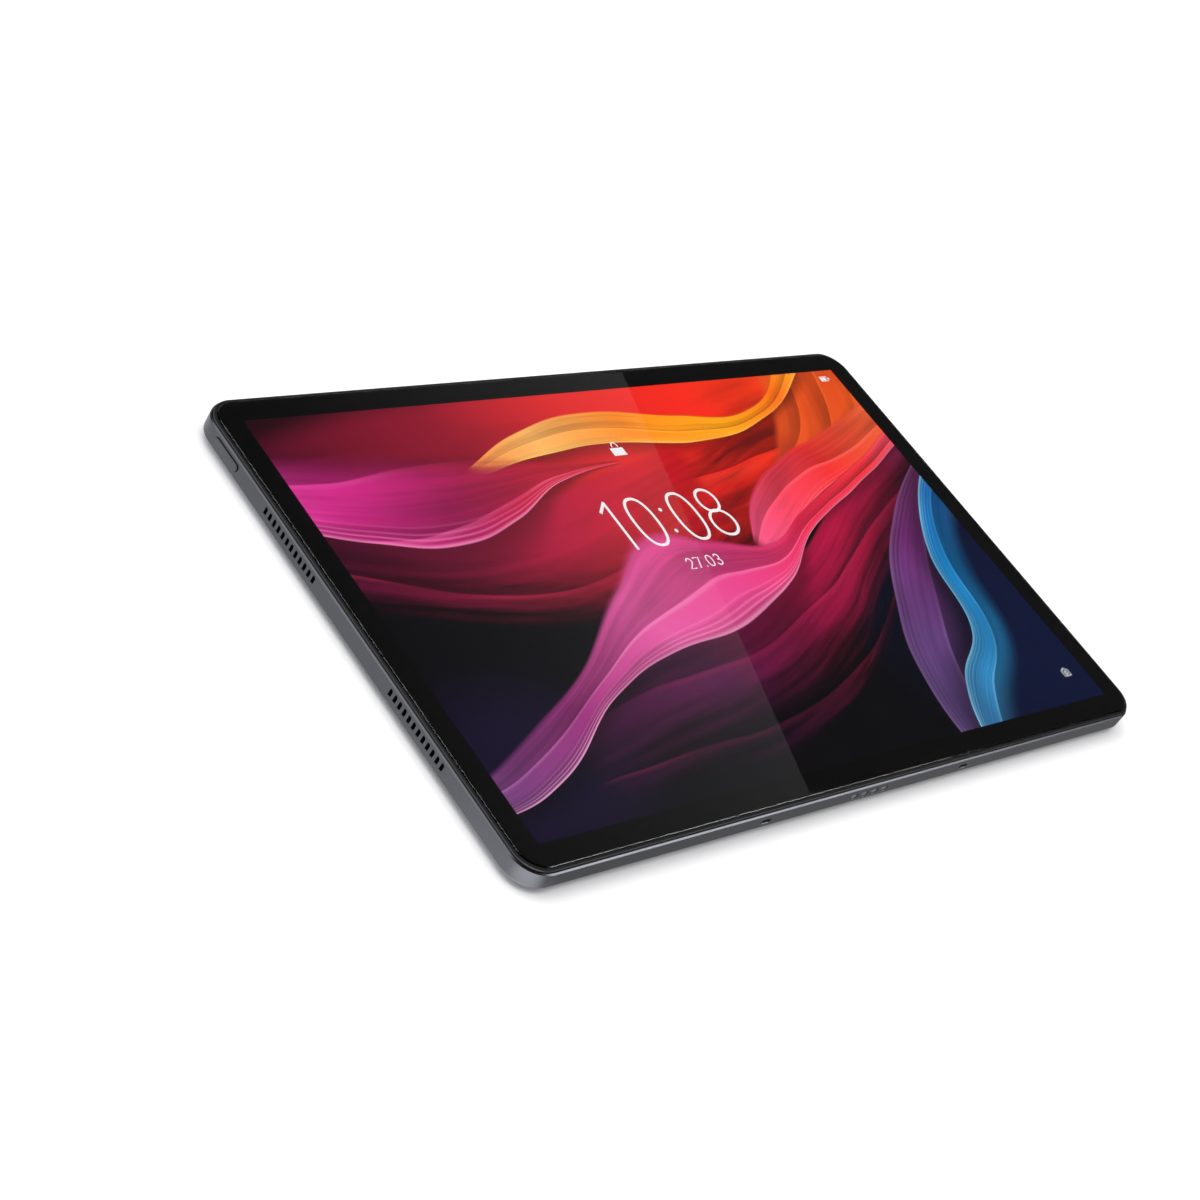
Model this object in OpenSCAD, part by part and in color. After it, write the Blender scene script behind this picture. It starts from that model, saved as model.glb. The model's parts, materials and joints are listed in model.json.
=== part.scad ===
/* [Body] */
// Length of the metal body along X
body_w = 258.4; // [250:0.2:266]
// Depth of the metal body along Y
body_h = 159.6; // [155:0.2:166]
// Thickness from the rear panels to the top of the glass
body_t = 7; // [7:0.1:7.6]
// Corner radius of the metal body
corner_r = 9; // [8:0.5:12]
// Thickness of the metal side wall
wall = 2; // [1.8:0.1:2.2]
// Size of the polished chamfer at the back
back_chamfer = 0.8; // [0.4:0.1:1]

/* [Display] */
// Length of the lit area
active_w = 240.6; // [230:0.2:242]
// Depth of the lit area
active_h = 142.6; // [136:0.2:144]
// Thickness of the cover glass
glass_t = 0.8; // [0.6:0.05:0.9]
// Distance from the metal outline to the glass edge
glass_inset = 1.5; // [1.4:0.1:1.7]

/* [Rear] */
// Thickness of both rear panels
panel_t = 0.7; // [0.5:0.05:0.7]
// Distance from the metal outline to the rear panels
panel_inset = 1.3; // [1.2:0.1:1.6]
// Distance from the middle of the body to the lower edge of the upper band
band_y = 33; // [28:0.5:36]
// Gap between the two rear panels
seam = 0.2; // [0.1:0.05:0.3]

/* [Camera] */
// Length of the camera island
island_w = 44.4; // [40:0.2:46]
// Depth of the camera island
island_h = 32.6; // [30:0.2:34]
// Height of the camera island above the rear panels
island_rise = 1; // [0.8:0.1:1.2]
// Height of the lens ring above the island
ring_rise = 0.5; // [0.3:0.1:0.8]

/* [Grilles] */
// Slots in each of the four grilles
grille_count = 12; // [6:1:14]
// Distance between slots
grille_pitch = 2.17; // [1.9:0.01:2.2]
// Distance from the middle of the body to the middle of a grille
grille_y = 30.8; // [28:0.2:32]

/* [Buttons and card tray] */
// Length of the power button
power_len = 11.4; // [9:0.2:13]
// Length of the volume rocker
volume_len = 20; // [16:0.5:22]
// Height that the buttons stand out of the metal
button_rise = 0.3; // [0.2:0.05:0.5]
// Length of the card tray's head
tray_head = 17; // [16.6:0.2:18]

/* [Dock] */
// Distance between dock contacts
dock_pitch = 4.3; // [3.8:0.1:5]
// Distance from the middle of the body to each dock slot
dock_slot_x = 42.5; // [38:0.5:48]

/* [Hidden] */
$fn = 48;

// Small amounts
eps = 0.01;
gap = 0.05;

// Levels above the surface that the tablet lies on
back_z = island_rise + ring_rise;
top_z = back_z + body_t;
glass_z = top_z - glass_t;
ink_t = 0.05;
glue_t = 0.05;
shelf_z = glass_z - ink_t - glue_t;
rebate_z = back_z + 4.9;
rim_z = back_z + 5.85;
deck_z = back_z + panel_t;
plate_z = back_z + 4.1;
plate_t = 0.4;
side_z = back_z + 3.5;
port_z = back_z + 3.15;
card_z = back_z + 3.2;

// Side frame section
lip = 0.55;
front_chamfer = 0.4;
ledge_d = 3.2;
ledge_t = 0.6;

// Display ring section
ring_d = 0.6;
ring_top = 6.6;
ring_round = 0.25;
shelf_d = 2.3;

// Cover glass edge
edge_r = 0.6;
edge_steps = 6;

// Layers of the display
lcd_z = back_z + 5.4;
lcd_over = 1.5;
guide_z = back_z + 4.8;
guide_t = 0.5;
guide_over = 0.8;
reflector_z = back_z + 4.55;
reflector_t = 0.2;
reflector_h = 0.8;
reflector_over_x = 1.1;
reflector_over_y = 2;
led_w = 0.8;
led_t = 0.4;
led_gap = 0.1;
flex_t = 0.12;
display_flex_w = 30;
display_flex_out = 4.2;
display_flex_tail = 6;
display_flex_lip = 2.6;
display_flex_low = plate_z - 0.3;
display_flex_top = back_z + 5.6;
display_flex_slack = [0.8, 0.6];

// Grille slots
grille_slot_h = 2.2;
grille_slot_w = 1.1;

// Antenna breaks
break_x = 69.5;
break_w = 1.3;

// Camera places, on the left of the back edge when seen from the front
island_x = -99.8;
island_y = 55.3;
island_r = 6;
island_bevel = 0.5;
lens_x = -109.6;
flash_x = -88.4;
lens_hole_r = 9.1;
lens_ring_r = 8.8;
lens_ring_outer = 0.5;
lens_ring_crown = 1.3;
lens_ring_slope = 0.2;
lens_glass_r = 6.35;
lens_glass_z = 0.25;
lens_glass_t = 0.5;
lens_glass_lip = 0.35;
hood_top = 0.8;
hood_mouth = 0.6;
hood_steps = [[5, 1.1], [5.2, 0.9]];
hood_seat = 1.5;
dish_r = 7.1;
dish_depth = 0.4;
dish_floor = 0.6;
flash_r = 2.7;
flash_dome = [[0, 0.1], [1.2, 0.14], [2.2, 0.28], [flash_r, 0.45]];
flash_depth = 1.1;
flash_lamp_w = 3.2;
flash_lamp_t = 0.9;
barrel_r = 3.3;
barrel_gap = 0.3;
barrel_face = [[0, 1.8], [1, 1.75], [1.6, 1.55], [1.9, 1.55], [2.6, 1.3], [barrel_r, 1.3]];
barrel_end = back_z + 3.2;
module_bore = 3.6;
module_w = 10.4;
module_top = back_z + 4;

// Rear panels
band_r = 5;
band_reach = 20;
graphite_x = 86;
graphite_y = [-70, 74];
graphite_t = 0.08;

// Notches in the middle plate
boss_r = 1.8;
usb_notch_x = 119;
usb_notch_w = 12;
mesh_notch = 4;
key_notch_d = 3;
power_notch = 8;
volume_notch = 12;

// Inner parts
battery_w = 86;
battery_h = 104;
battery_x = 44.5;
battery_y = -16;
battery_z = deck_z + 0.15;
battery_t = 3.1;
battery_r = 2;
battery_bevel = 0.6;
battery_board_w = 120;
battery_board_y = [36.8, 40.6];
battery_board_z = [back_z + 1.2, back_z + 1.9];
board_x0 = -80;
board_x1 = 78;
board_y0 = 42;
board_y1 = 71;
board_z = back_z + 1.9;
board_t = 0.8;
can_places = [-70, -38, 6, 38];
can_w = 28;
can_y = [47, 66];
can_h = 1.05;
screw_r = 0.65;
screw_play = 0.15;
screw_head_r = 1.3;
screw_head_t = 0.5;
screw_cross = [1.6, 0.35, 0.5];
board_screw_places = [for (x = [-76, -2, 74], y = [45, 68]) [x, y]];
usb_board_z = deck_z + 0.65;
usb_board_t = 0.6;
usb_board_x = 93;
usb_board_w = 24;
board_flex_t = 0.15;
board_flex_path = [[93.5, -5], [99.5, -5], [99.5, 52], [79, 52], [79, 46], [93.5, 46]];
usb_screw_places = [[105, -9], [105, 9]];
speaker_w = 21;
speaker_h = 34;
speaker_t = 3;
speaker_z = deck_z + 0.2;
speaker_r = 3;
speaker_bevel = 0.3;
mesh_t = 0.2;
mesh_h = 2.8;
mesh_over = 2;
key_wall = body_w / 2 - wall;
back_wall = body_h / 2 - wall;
flange_t = 0.5;
flange_gap = 0.3;
flange_over = 0.35;
button_h = 2;
button_gap = 0.12;
power_y = 63.1;
volume_x = -98;
volume_reach = 6.5;
fulcrum_r = 0.5;
plunger_r = 0.6;
plunger_len = 0.4;
switch_gap = 0.15;
switch_size = [4, 2, 1];
switch_dome_r = 0.9;
switch_dome_t = 0.1;
switch_back = 1.3;
key_flex_h = 1.75;
key_flex_drop = 1.2;
key_flex_bend = 6;
key_flex_ends = [5, 10];
card_x = 96;
tray_w = 14;
tray_t = 0.9;
tray_len = 20;
tray_head_t = 1.4;
tray_pocket = [11.2, 15.2];
tray_pocket_floor = 0.2;
tray_pocket_end = 1.5;
eject_r = 0.45;
eject_in = 1.7;
seal_t = 0.4;
seal_over = 0.8;
seal_slim = 0.2;
reader_w = 17.2;
reader_len = 20.5;
reader_z = [card_z - 1, card_z + 0.85];
reader_inner_z = [card_z - 0.75, card_z + 0.65];
reader_play = 0.4;
reader_end = 0.7;
reader_mouth = 16;
usb_w = 8.94;
usb_h = 3.26;
usb_wall = 0.35;
usb_len = 7.3;
usb_face = 0.3;
usb_end = 0.8;
tongue_w = 6.69;
tongue_t = 0.7;
tongue_len = 4.45;
tongue_root = 1.4;
tongue_root_t = 2;
contact_count = 12;
contact_pitch = 0.5;
contact_size = [3.8, 0.25, 0.06];
dock_w = 2.4;
dock_h = 1.5;
dock_ring = 0.35;
dock_count = 4;
dock_z = back_z + 2.9;
dock_slot_w = 3.6;
dock_slot_h = 1.5;
dock_slot_depth = 1.6;
dock_pin_y = [0.05, 2.6];
dock_pin_play = 0.02;
dock_collar_y = [0.1, wall + 0.5];
dock_block = [19, 1.2];
dock_block_z = [dock_z - 1.5, dock_z + 1.2];
liner_floor = 0.3;
magnet_x = 27;
magnet_w = 18;
magnet_d = 2.6;
magnet_z = [dock_z - 1.2, dock_z + 0.9];
mic_x = 30;
mic_r = 0.4;
mic_w = 3.6;
mic_d = 1.5;
mic_z = [side_z - 1.1, side_z + 0.5];
front_cam_r = 1.6;
front_cam_window_r = 1.2;
front_cam_z = back_z + 4.7;
front_cam_shoulder = back_z + 5.8;
front_cam_face = [[1.1, 6.05], [0.6, 6.05], [0.3, 5.9], [0, 5.85]];
front_cam_y = (active_h + body_h) / 4;
sensor_x = 12;
sensor_w = 2;
sensor_d = 1.6;
sensor_z = [back_z + 5.1, back_z + 5.9];
sensor_window_r = 0.6;
motor_at = [96.5, -62];
motor_r = 5;
motor_t = 2.8;
antenna_x = 56;
antenna_w = 18;
antenna_d = 4.6;
antenna_z = [back_z + 1.5, back_z + 3.8];

metal = "dimgray";
polished = "lightgray";
black = [0.05, 0.05, 0.06];

// Rounded rectangle made of exact arcs
module rounded_rect(w, h, r) {
    square([w - 2 * r, h], center = true);
    square([w, h - 2 * r], center = true);
    for (sx = [-1, 1], sy = [-1, 1])
        translate([sx * (w / 2 - r), sy * (h / 2 - r)]) circle(r);
}

// Round-ended slot in the XY plane, w long and h across
module slot_outline(w, h) {
    square([w - h, h], center = true);
    for (side = [-1, 1]) translate([side * (w - h) / 2, 0]) circle(h / 2);
}

// Box given by its two corners
module span(low, high) {
    translate(low) cube(high - low);
}

// Section swept round a rounded rectangle. A point is [distance in from the outline, height].
module swept_rim(w, h, r, section) {
    for (side = [-1, 1]) {
        rotate([90, 0, 90]) linear_extrude(w - 2 * r, center = true)
            polygon([for (p = section) [side * (h / 2 - p[0]), p[1]]]);
        rotate([90, 0, 0]) linear_extrude(h - 2 * r, center = true)
            polygon([for (p = section) [side * (w / 2 - p[0]), p[1]]]);
    }
    for (turn = [0 : 3]) {
        sx = turn == 0 || turn == 3 ? 1 : -1;
        sy = turn < 2 ? 1 : -1;
        translate([sx * (w / 2 - r), sy * (h / 2 - r), 0]) rotate(90 * turn)
            rotate_extrude(angle = 90) polygon([for (p = section) [r - p[0], p[1]]]);
    }
}

// Slab whose edge follows a section that starts and ends at the corner radius
module rimmed_slab(w, h, r, section, z0, z1) {
    swept_rim(w, h, r, section);
    span([r - w / 2, r - h / 2, z0], [w / 2 - r, h / 2 - r, z1]);
}

// Slot through the left or right wall, long way along Y
module side_slot(side, y, z, len, high, depth) {
    translate([side * (body_w / 2 + 1), y, z]) rotate([90, 0, -90 * side])
        linear_extrude(depth + 1) slot_outline(len, high);
}

// Slot through the back or front wall, long way along X
module long_slot(side, x, z, len, high, depth) {
    translate([x, side * (body_h / 2 + 1), z]) rotate([90, 0, side > 0 ? 0 : 180])
        linear_extrude(depth + 1) slot_outline(len, high);
}

module grille(side, sy) {
    first = -(grille_count - 1) / 2 * grille_pitch;
    for (i = [0 : grille_count - 1])
        translate([side * (body_w / 2 - wall / 2), sy * grille_y + first + i * grille_pitch, side_z])
            rotate([90, 90, 90]) linear_extrude(wall + 1, center = true)
                slot_outline(grille_slot_h, grille_slot_w);
}

// Wall section of the metal body, shared with the antenna rail and its breaks
wall_section = [
    [0, back_z + back_chamfer], [back_chamfer, back_z], [panel_inset, back_z],
    [panel_inset, deck_z], [ledge_d, deck_z], [ledge_d, deck_z + ledge_t],
    [wall, deck_z + ledge_t], [wall, rebate_z], [lip, rebate_z], [lip, rim_z],
    [front_chamfer, rim_z], [0, rim_z - front_chamfer],
];

// Straight length of the wall along the back edge
module wall_length(x0, x1) {
    translate([x0, 0, 0]) rotate([90, 0, 90]) linear_extrude(x1 - x0)
        polygon([for (p = wall_section) [body_h / 2 - p[0], p[1]]]);
}

module side_frame() {
    color(metal) difference() {
        swept_rim(body_w, body_h, corner_r, wall_section);
        span([-break_x - break_w / 2, body_h / 2 - ledge_d - 1, 0],
             [break_x + break_w / 2, body_h / 2 + 1, top_z]);
        for (side = [-1, 1], sy = [-1, 1]) grille(side, sy);
        side_slot(-1, power_y, side_z, power_len + 2 * button_gap, button_h + 2 * button_gap, wall + 1);
        side_slot(1, 0, port_z, usb_w + 2 * gap, usb_h + 2 * gap, wall + 1);
        long_slot(1, volume_x, side_z, volume_len + 2 * button_gap, button_h + 2 * button_gap, wall + 1);
        long_slot(1, card_x, card_z, tray_head + 2 * gap, button_h + 2 * gap, wall + 1);
        for (i = [0 : dock_count - 1])
            long_slot(-1, (i - (dock_count - 1) / 2) * dock_pitch, dock_z,
                      dock_w + 2 * dock_ring, dock_h + 2 * dock_ring, wall + 1);
        for (side = [-1, 1])
            long_slot(-1, side * dock_slot_x, dock_z, dock_slot_w, dock_slot_h, dock_slot_depth);
    }
}

module antenna_rail() {
    color(metal) difference() {
        wall_length(break_w / 2 - break_x, break_x - break_w / 2);
        for (side = [-1, 1]) translate([side * mic_x, body_h / 2 + 1, side_z])
            rotate([90, 0, 0]) cylinder(r = mic_r, h = wall + 2);
    }
}

module antenna_breaks() {
    color("silver") for (side = [-1, 1])
        wall_length(side * break_x - break_w / 2, side * break_x + break_w / 2);
}

module display_ring() {
    top = back_z + ring_top;
    color(black) swept_rim(body_w, body_h, corner_r, [
        [ring_d, rebate_z], [ring_d, top - ring_round], [ring_d + ring_round, top],
        [glass_inset - gap, top], [glass_inset - gap, shelf_z], [shelf_d, shelf_z],
        [shelf_d, rebate_z],
    ]);
}

module cover_glass() {
    w = body_w - 2 * glass_inset;
    h = body_h - 2 * glass_inset;
    r = corner_r - glass_inset;
    curve = [for (i = [0 : edge_steps]) let (a = 90 * i / edge_steps)
        [edge_r * (1 - cos(a)), top_z - edge_r * (1 - sin(a))]];
    color([0.1, 0.12, 0.15, 0.35])
        rimmed_slab(w, h, r, concat([[r, glass_z], [0, glass_z]], curve, [[r, top_z]]), glass_z, top_z);
}

module border_ink() {
    color(black) translate([0, 0, glass_z - ink_t]) linear_extrude(ink_t) difference() {
        rounded_rect(body_w - 2 * glass_inset, body_h - 2 * glass_inset, corner_r - glass_inset);
        square([active_w, active_h], center = true);
        translate([0, front_cam_y]) circle(front_cam_window_r);
        translate([sensor_x, front_cam_y]) circle(sensor_window_r);
    }
}

module glass_adhesive() {
    color(black) translate([0, 0, shelf_z]) linear_extrude(glue_t) difference() {
        rounded_rect(body_w - 2 * glass_inset, body_h - 2 * glass_inset, corner_r - glass_inset);
        rounded_rect(body_w - 2 * shelf_d, body_h - 2 * shelf_d, corner_r - shelf_d);
    }
}

module lcd_cell() {
    color("midnightblue") translate([0, 0, lcd_z]) linear_extrude(glass_z - ink_t - lcd_z)
        square([active_w + 2 * lcd_over, active_h + 2 * lcd_over], center = true);
}

module light_guide() {
    color("white") translate([0, 0, guide_z]) linear_extrude(guide_t)
        square([active_w + 2 * guide_over, active_h + 2 * guide_over], center = true);
}

// Thin steel tray with upturned long edges
module reflector_tray() {
    x = active_w / 2 + reflector_over_x;
    y = active_h / 2 + reflector_over_y;
    color("gainsboro") difference() {
        span([-x, -y, reflector_z], [x, y, reflector_z + reflector_h]);
        span([-x - 1, reflector_t - y, reflector_z + reflector_t],
             [x + 1, y - reflector_t, reflector_z + reflector_h + 1]);
    }
}

module led_strip() {
    y1 = -(active_h / 2 + guide_over + led_gap);
    color("khaki") span([-active_w / 2, y1 - led_w, guide_z], [active_w / 2, y1, guide_z + led_t]);
}

// Flex that leaves the display and folds under the middle plate
module display_flex() {
    y0 = -(active_h / 2 + display_flex_out);
    low = display_flex_low;
    high = display_flex_top;
    color("orange") rotate([90, 0, 90]) linear_extrude(display_flex_w, center = true) polygon([
        [y0, low], [y0 + display_flex_tail, low], [y0 + display_flex_tail, low + flex_t],
        [y0 + flex_t, low + flex_t], [y0 + flex_t, high], [y0 + display_flex_lip, high],
        [y0 + display_flex_lip, high + flex_t], [y0, high + flex_t],
    ]);
}

module boss(at, z0) {
    translate([at[0], at[1], z0]) cylinder(r = boss_r, h = plate_z + eps - z0);
}

module middle_plate() {
    flex_x = display_flex_w / 2 + 0.5;
    flex_y = active_h / 2 + display_flex_out;
    color("silver") difference() {
        union() {
            translate([0, 0, plate_z]) linear_extrude(plate_t)
                rounded_rect(body_w - 2 * wall, body_h - 2 * wall, corner_r - wall);
            for (at = board_screw_places) boss(at, board_z + board_t);
            for (at = usb_screw_places) boss(at, usb_board_z + usb_board_t);
        }
        span([usb_notch_x, -usb_notch_w / 2, back_z], [body_w / 2, usb_notch_w / 2, top_z]);
        for (side = [-1, 1], sy = [-1, 1]) translate([side * key_wall, sy * grille_y, plate_z])
            cube([1, grille_count * grille_pitch + mesh_notch, 2], center = true);
        span([-body_w / 2, power_y - power_notch, back_z],
             [key_notch_d - key_wall, power_y + power_notch, top_z]);
        span([volume_x - volume_notch, back_wall - key_notch_d, back_z],
             [volume_x + volume_notch, body_h / 2, top_z]);
        span([-flex_x, -flex_y - display_flex_slack[0], back_z],
             [flex_x, display_flex_slack[1] - flex_y, top_z]);
        for (at = concat(board_screw_places, usb_screw_places))
            translate([at[0], at[1], back_z]) cylinder(r = screw_r + gap, h = body_t);
    }
}

// Outline of both rear panels together
module rear_outline() {
    rounded_rect(body_w - 2 * panel_inset - 2 * gap, body_h - 2 * panel_inset - 2 * gap,
                 corner_r - panel_inset);
}

// Upper band outline: full corners at the back, small round corners at the front
module band_outline(grow) {
    low = band_y - grow;
    r = band_r + grow;
    high = body_h / 2 - panel_inset - gap;
    w = body_w - 2 * panel_inset - 2 * gap + 2 * grow;
    intersection() {
        translate([0, (low + high + band_reach) / 2]) rounded_rect(w, high + band_reach - low, r);
        translate([0, (low + high) / 2 - band_reach])
            rounded_rect(w, high + 2 * band_reach - low + 2 * grow, corner_r - panel_inset);
    }
}

module rear_panel() {
    color("gray") translate([0, 0, back_z]) linear_extrude(panel_t) difference() {
        rear_outline();
        band_outline(seam);
    }
}

module rear_band() {
    color("darkgray") translate([0, 0, back_z]) linear_extrude(panel_t) difference() {
        band_outline(0);
        translate([island_x, island_y])
            rounded_rect(island_w + 2 * gap, island_h + 2 * gap, island_r + gap);
    }
}

module graphite_sheet() {
    color("darkslategray")
        span([-graphite_x, graphite_y[0], deck_z], [graphite_x, graphite_y[1], deck_z + graphite_t]);
}

module battery_cell(x) {
    r = battery_r;
    z1 = battery_z + battery_t;
    bevel = battery_bevel;
    color("dimgray") translate([x, battery_y, 0])
        rimmed_slab(battery_w, battery_h, r, [
            [r, battery_z], [bevel, battery_z], [0, battery_z + bevel],
            [0, z1 - bevel], [bevel, z1], [r, z1],
        ], battery_z, z1);
}

module battery_left() battery_cell(-battery_x);

module battery_right() battery_cell(battery_x);

module battery_board() {
    color("darkgreen") span([-battery_board_w / 2, battery_board_y[0], battery_board_z[0]],
                            [battery_board_w / 2, battery_board_y[1], battery_board_z[1]]);
}

module main_board() {
    color("darkgreen") difference() {
        span([board_x0, board_y0, board_z], [board_x1, board_y1, board_z + board_t]);
        for (at = board_screw_places)
            translate([at[0], at[1], board_z - 1]) cylinder(r = screw_r + screw_play, h = board_t + 2);
    }
}

module shield_cans() {
    color("silver") for (x = can_places)
        span([x, can_y[0], board_z - can_h], [x + can_w, can_y[1], board_z]);
}

// Small screw, head down, with a cross recess
module screw(at, z) {
    translate([at[0], at[1], z]) difference() {
        union() {
            translate([0, 0, -screw_head_t]) cylinder(r = screw_head_r, h = screw_head_t);
            translate([0, 0, -eps]) cylinder(r = screw_r, h = plate_z + plate_t - z);
        }
        for (turn = [0, 90]) rotate(turn)
            translate([0, 0, -screw_head_t]) cube(screw_cross, center = true);
    }
}

module board_screws() {
    color("lightgray") {
        for (at = board_screw_places) screw(at, board_z);
        for (at = usb_screw_places) screw(at, usb_board_z);
    }
}

module usb_board() {
    color("darkgreen") difference() {
        span([usb_board_x, -usb_board_w / 2, usb_board_z],
             [body_w / 2 - usb_face - usb_len - 0.1, usb_board_w / 2, usb_board_z + usb_board_t]);
        for (at = usb_screw_places)
            translate([at[0], at[1], back_z]) cylinder(r = screw_r + screw_play, h = body_t);
    }
}

// Flat flex from the USB board round the battery to the main board
module board_flex() {
    color("orange") translate([0, 0, usb_board_z + usb_board_t + gap]) linear_extrude(board_flex_t)
        polygon(board_flex_path);
}

// Raised plate that carries the lens and the flash
module camera_island() {
    color("silver") difference() {
        translate([island_x, island_y, 0])
            rimmed_slab(island_w, island_h, island_r, [
                [island_r, ring_rise], [island_bevel, ring_rise], [0, ring_rise + island_bevel],
                [0, deck_z], [island_r, deck_z],
            ], ring_rise, deck_z);
        translate([lens_x, island_y, 0]) cylinder(r = lens_hole_r, h = top_z);
        translate([flash_x, island_y, 0]) cylinder(r = flash_r + gap, h = top_z);
        translate([flash_x, island_y, ring_rise - eps])
            cylinder(r1 = dish_r, r2 = flash_r + dish_floor, h = dish_depth);
    }
}

module lens_ring() {
    color(polished) translate([lens_x, island_y, 0]) rotate_extrude() polygon([
        [lens_glass_r + gap, deck_z], [lens_ring_r, deck_z], [lens_ring_r, ring_rise],
        [lens_ring_r - lens_ring_outer, lens_ring_slope], [lens_ring_r - lens_ring_crown, 0],
        [lens_glass_r + lens_ring_outer, 0], [lens_glass_r + gap, lens_glass_lip],
    ]);
}

module lens_glass() {
    color([0.05, 0.06, 0.08, 0.5]) translate([lens_x, island_y, lens_glass_z])
        cylinder(r = lens_glass_r, h = lens_glass_t);
}

// Stepped black cone between the lens glass and the lens
module lens_hood() {
    bore = barrel_r + barrel_gap;
    color(black) translate([lens_x, island_y, 0]) rotate_extrude() polygon(concat([
        [lens_glass_r - hood_mouth, hood_top], [lens_glass_r, hood_top], [lens_glass_r, deck_z],
        [bore, deck_z], [bore, hood_seat],
    ], hood_steps));
}

module camera_module() {
    color("darkslategray") difference() {
        span([lens_x - module_w / 2, island_y - module_w / 2, deck_z + gap],
             [lens_x + module_w / 2, island_y + module_w / 2, module_top]);
        translate([lens_x, island_y, back_z])
            cylinder(r = barrel_r + barrel_gap, h = module_bore);
    }
}

// Lens barrel that the autofocus drives
module focus_barrel() {
    color("black") translate([lens_x, island_y, 0]) rotate_extrude()
        polygon(concat(barrel_face, [[barrel_r, barrel_end], [0, barrel_end]]));
}

module flash_lens() {
    color("white") translate([flash_x, island_y, 0]) rotate_extrude()
        polygon(concat([for (p = flash_dome) [p[0], ring_rise + p[1]]],
                       [[flash_r, ring_rise + flash_depth], [0, ring_rise + flash_depth]]));
}

module flash_lamp() {
    half = flash_lamp_w / 2;
    z0 = ring_rise + flash_depth + gap;
    color("gold") span([flash_x - half, island_y - half, z0],
                       [flash_x + half, island_y + half, z0 + flash_lamp_t]);
}

// Push button: round-ended head, wider flange behind the wall and a plunger
module key_cap(len, flange_len, plungers) {
    linear_extrude(wall + button_rise + flange_gap) slot_outline(len, button_h);
    translate([0, 0, -flange_t]) linear_extrude(flange_t)
        slot_outline(flange_len, button_h + 2 * flange_over);
    for (x = plungers)
        translate([x, 0, -flange_t - plunger_len]) cylinder(r = plunger_r, h = plunger_len + eps);
}

module power_button() {
    color("gray") translate([flange_gap - key_wall, power_y, side_z]) rotate([0, -90, 0])
        rotate(90) key_cap(power_len, power_len + 2 * flange_over, [0]);
}

module volume_rocker() {
    color("gray") translate([volume_x, back_wall - flange_gap, side_z]) rotate([-90, 0, 0])
        key_cap(volume_len, volume_len + 2 * flange_over, [-volume_reach, volume_reach]);
    // Round fulcrum on the back of the flange, on the rocking axis
    color("gray") translate([volume_x, back_wall - flange_gap - flange_t, side_z])
        cylinder(r = fulcrum_r, h = button_h, center = true);
}

// Switch body and dome, set back from the plunger at rest
module key_switch() {
    translate([-switch_size[0] / 2, -switch_size[1] / 2, -switch_back]) cube(switch_size);
    translate([0, 0, switch_size[2] - switch_back - eps]) cylinder(r = switch_dome_r, h = switch_dome_t);
}

module power_switch() {
    back = key_wall - flange_gap - flange_t - plunger_len;
    color("black") translate([switch_gap - back, power_y, side_z]) rotate([0, -90, 0]) rotate(90) key_switch();
}

module volume_switches() {
    back = back_wall - flange_gap - flange_t - plunger_len;
    color("black") for (x = [-volume_reach, volume_reach])
        translate([volume_x + x, back - switch_gap, side_z]) rotate([-90, 0, 0]) key_switch();
}

// Flex that carries both sets of key switches round the corner
module key_flex() {
    behind = flange_gap + flange_t + plunger_len + switch_gap + switch_back;
    x0 = behind - key_wall;
    x1 = volume_x + key_flex_ends[1];
    y0 = power_y - key_flex_ends[0];
    y1 = back_wall - behind;
    t = flex_t;
    bend = key_flex_bend;
    color("orange") translate([0, 0, side_z - key_flex_drop]) linear_extrude(key_flex_h) polygon([
        [x0, y0], [x0 + t, y0], [x0 + t, y1 - bend], [x0 + bend, y1 - t],
        [x1, y1 - t], [x1, y1], [x0 + bend - t, y1], [x0, y1 - bend + t],
    ]);
}

module card_tray() {
    y1 = body_h / 2;
    head_t = tray_head_t;
    color("gray") difference() {
        union() {
            translate([card_x, y1, card_z]) rotate([90, 0, 0]) linear_extrude(head_t)
                slot_outline(tray_head, button_h);
            span([card_x - tray_w / 2, y1 - head_t - tray_len, card_z - tray_t / 2],
                 [card_x + tray_w / 2, y1 - head_t + eps, card_z + tray_t / 2]);
        }
        translate([card_x - tray_pocket[0] / 2, y1 - head_t - tray_len + tray_pocket_end,
                   card_z - tray_t / 2 + tray_pocket_floor])
            cube([tray_pocket[0], tray_pocket[1], 2]);
        translate([card_x + tray_head / 2 - eject_in, y1 + 1, card_z]) rotate([90, 0, 0])
            cylinder(r = eject_r, h = head_t + 2);
    }
}

module card_seal() {
    y1 = body_h / 2 - tray_head_t - gap;
    color("black") translate([card_x, y1, card_z]) rotate([90, 0, 0]) linear_extrude(seal_t) difference() {
        slot_outline(tray_w + 2 * seal_over, button_h - seal_slim);
        square([tray_w, tray_t], center = true);
    }
}

module card_reader() {
    y1 = back_wall - flange_gap;
    half = tray_w / 2 + reader_play;
    color("silver") difference() {
        span([card_x - reader_w / 2, y1 - reader_len, reader_z[0]], [card_x + reader_w / 2, y1, reader_z[1]]);
        span([card_x - half, y1 - reader_len + reader_end, reader_inner_z[0]],
             [card_x + half, y1 + 1, reader_inner_z[1]]);
        span([card_x - reader_mouth / 2, y1 - 0.6, card_z - 2],
             [card_x + reader_mouth / 2, y1 + 1, card_z + 2]);
    }
}

module usb_shell() {
    x1 = body_w / 2 - usb_face;
    color(polished) translate([x1 - usb_len, 0, port_z]) rotate([90, 0, 90]) difference() {
        linear_extrude(usb_len) slot_outline(usb_w, usb_h);
        translate([0, 0, usb_end]) linear_extrude(usb_len)
            slot_outline(usb_w - 2 * usb_wall, usb_h - 2 * usb_wall);
    }
}

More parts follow.
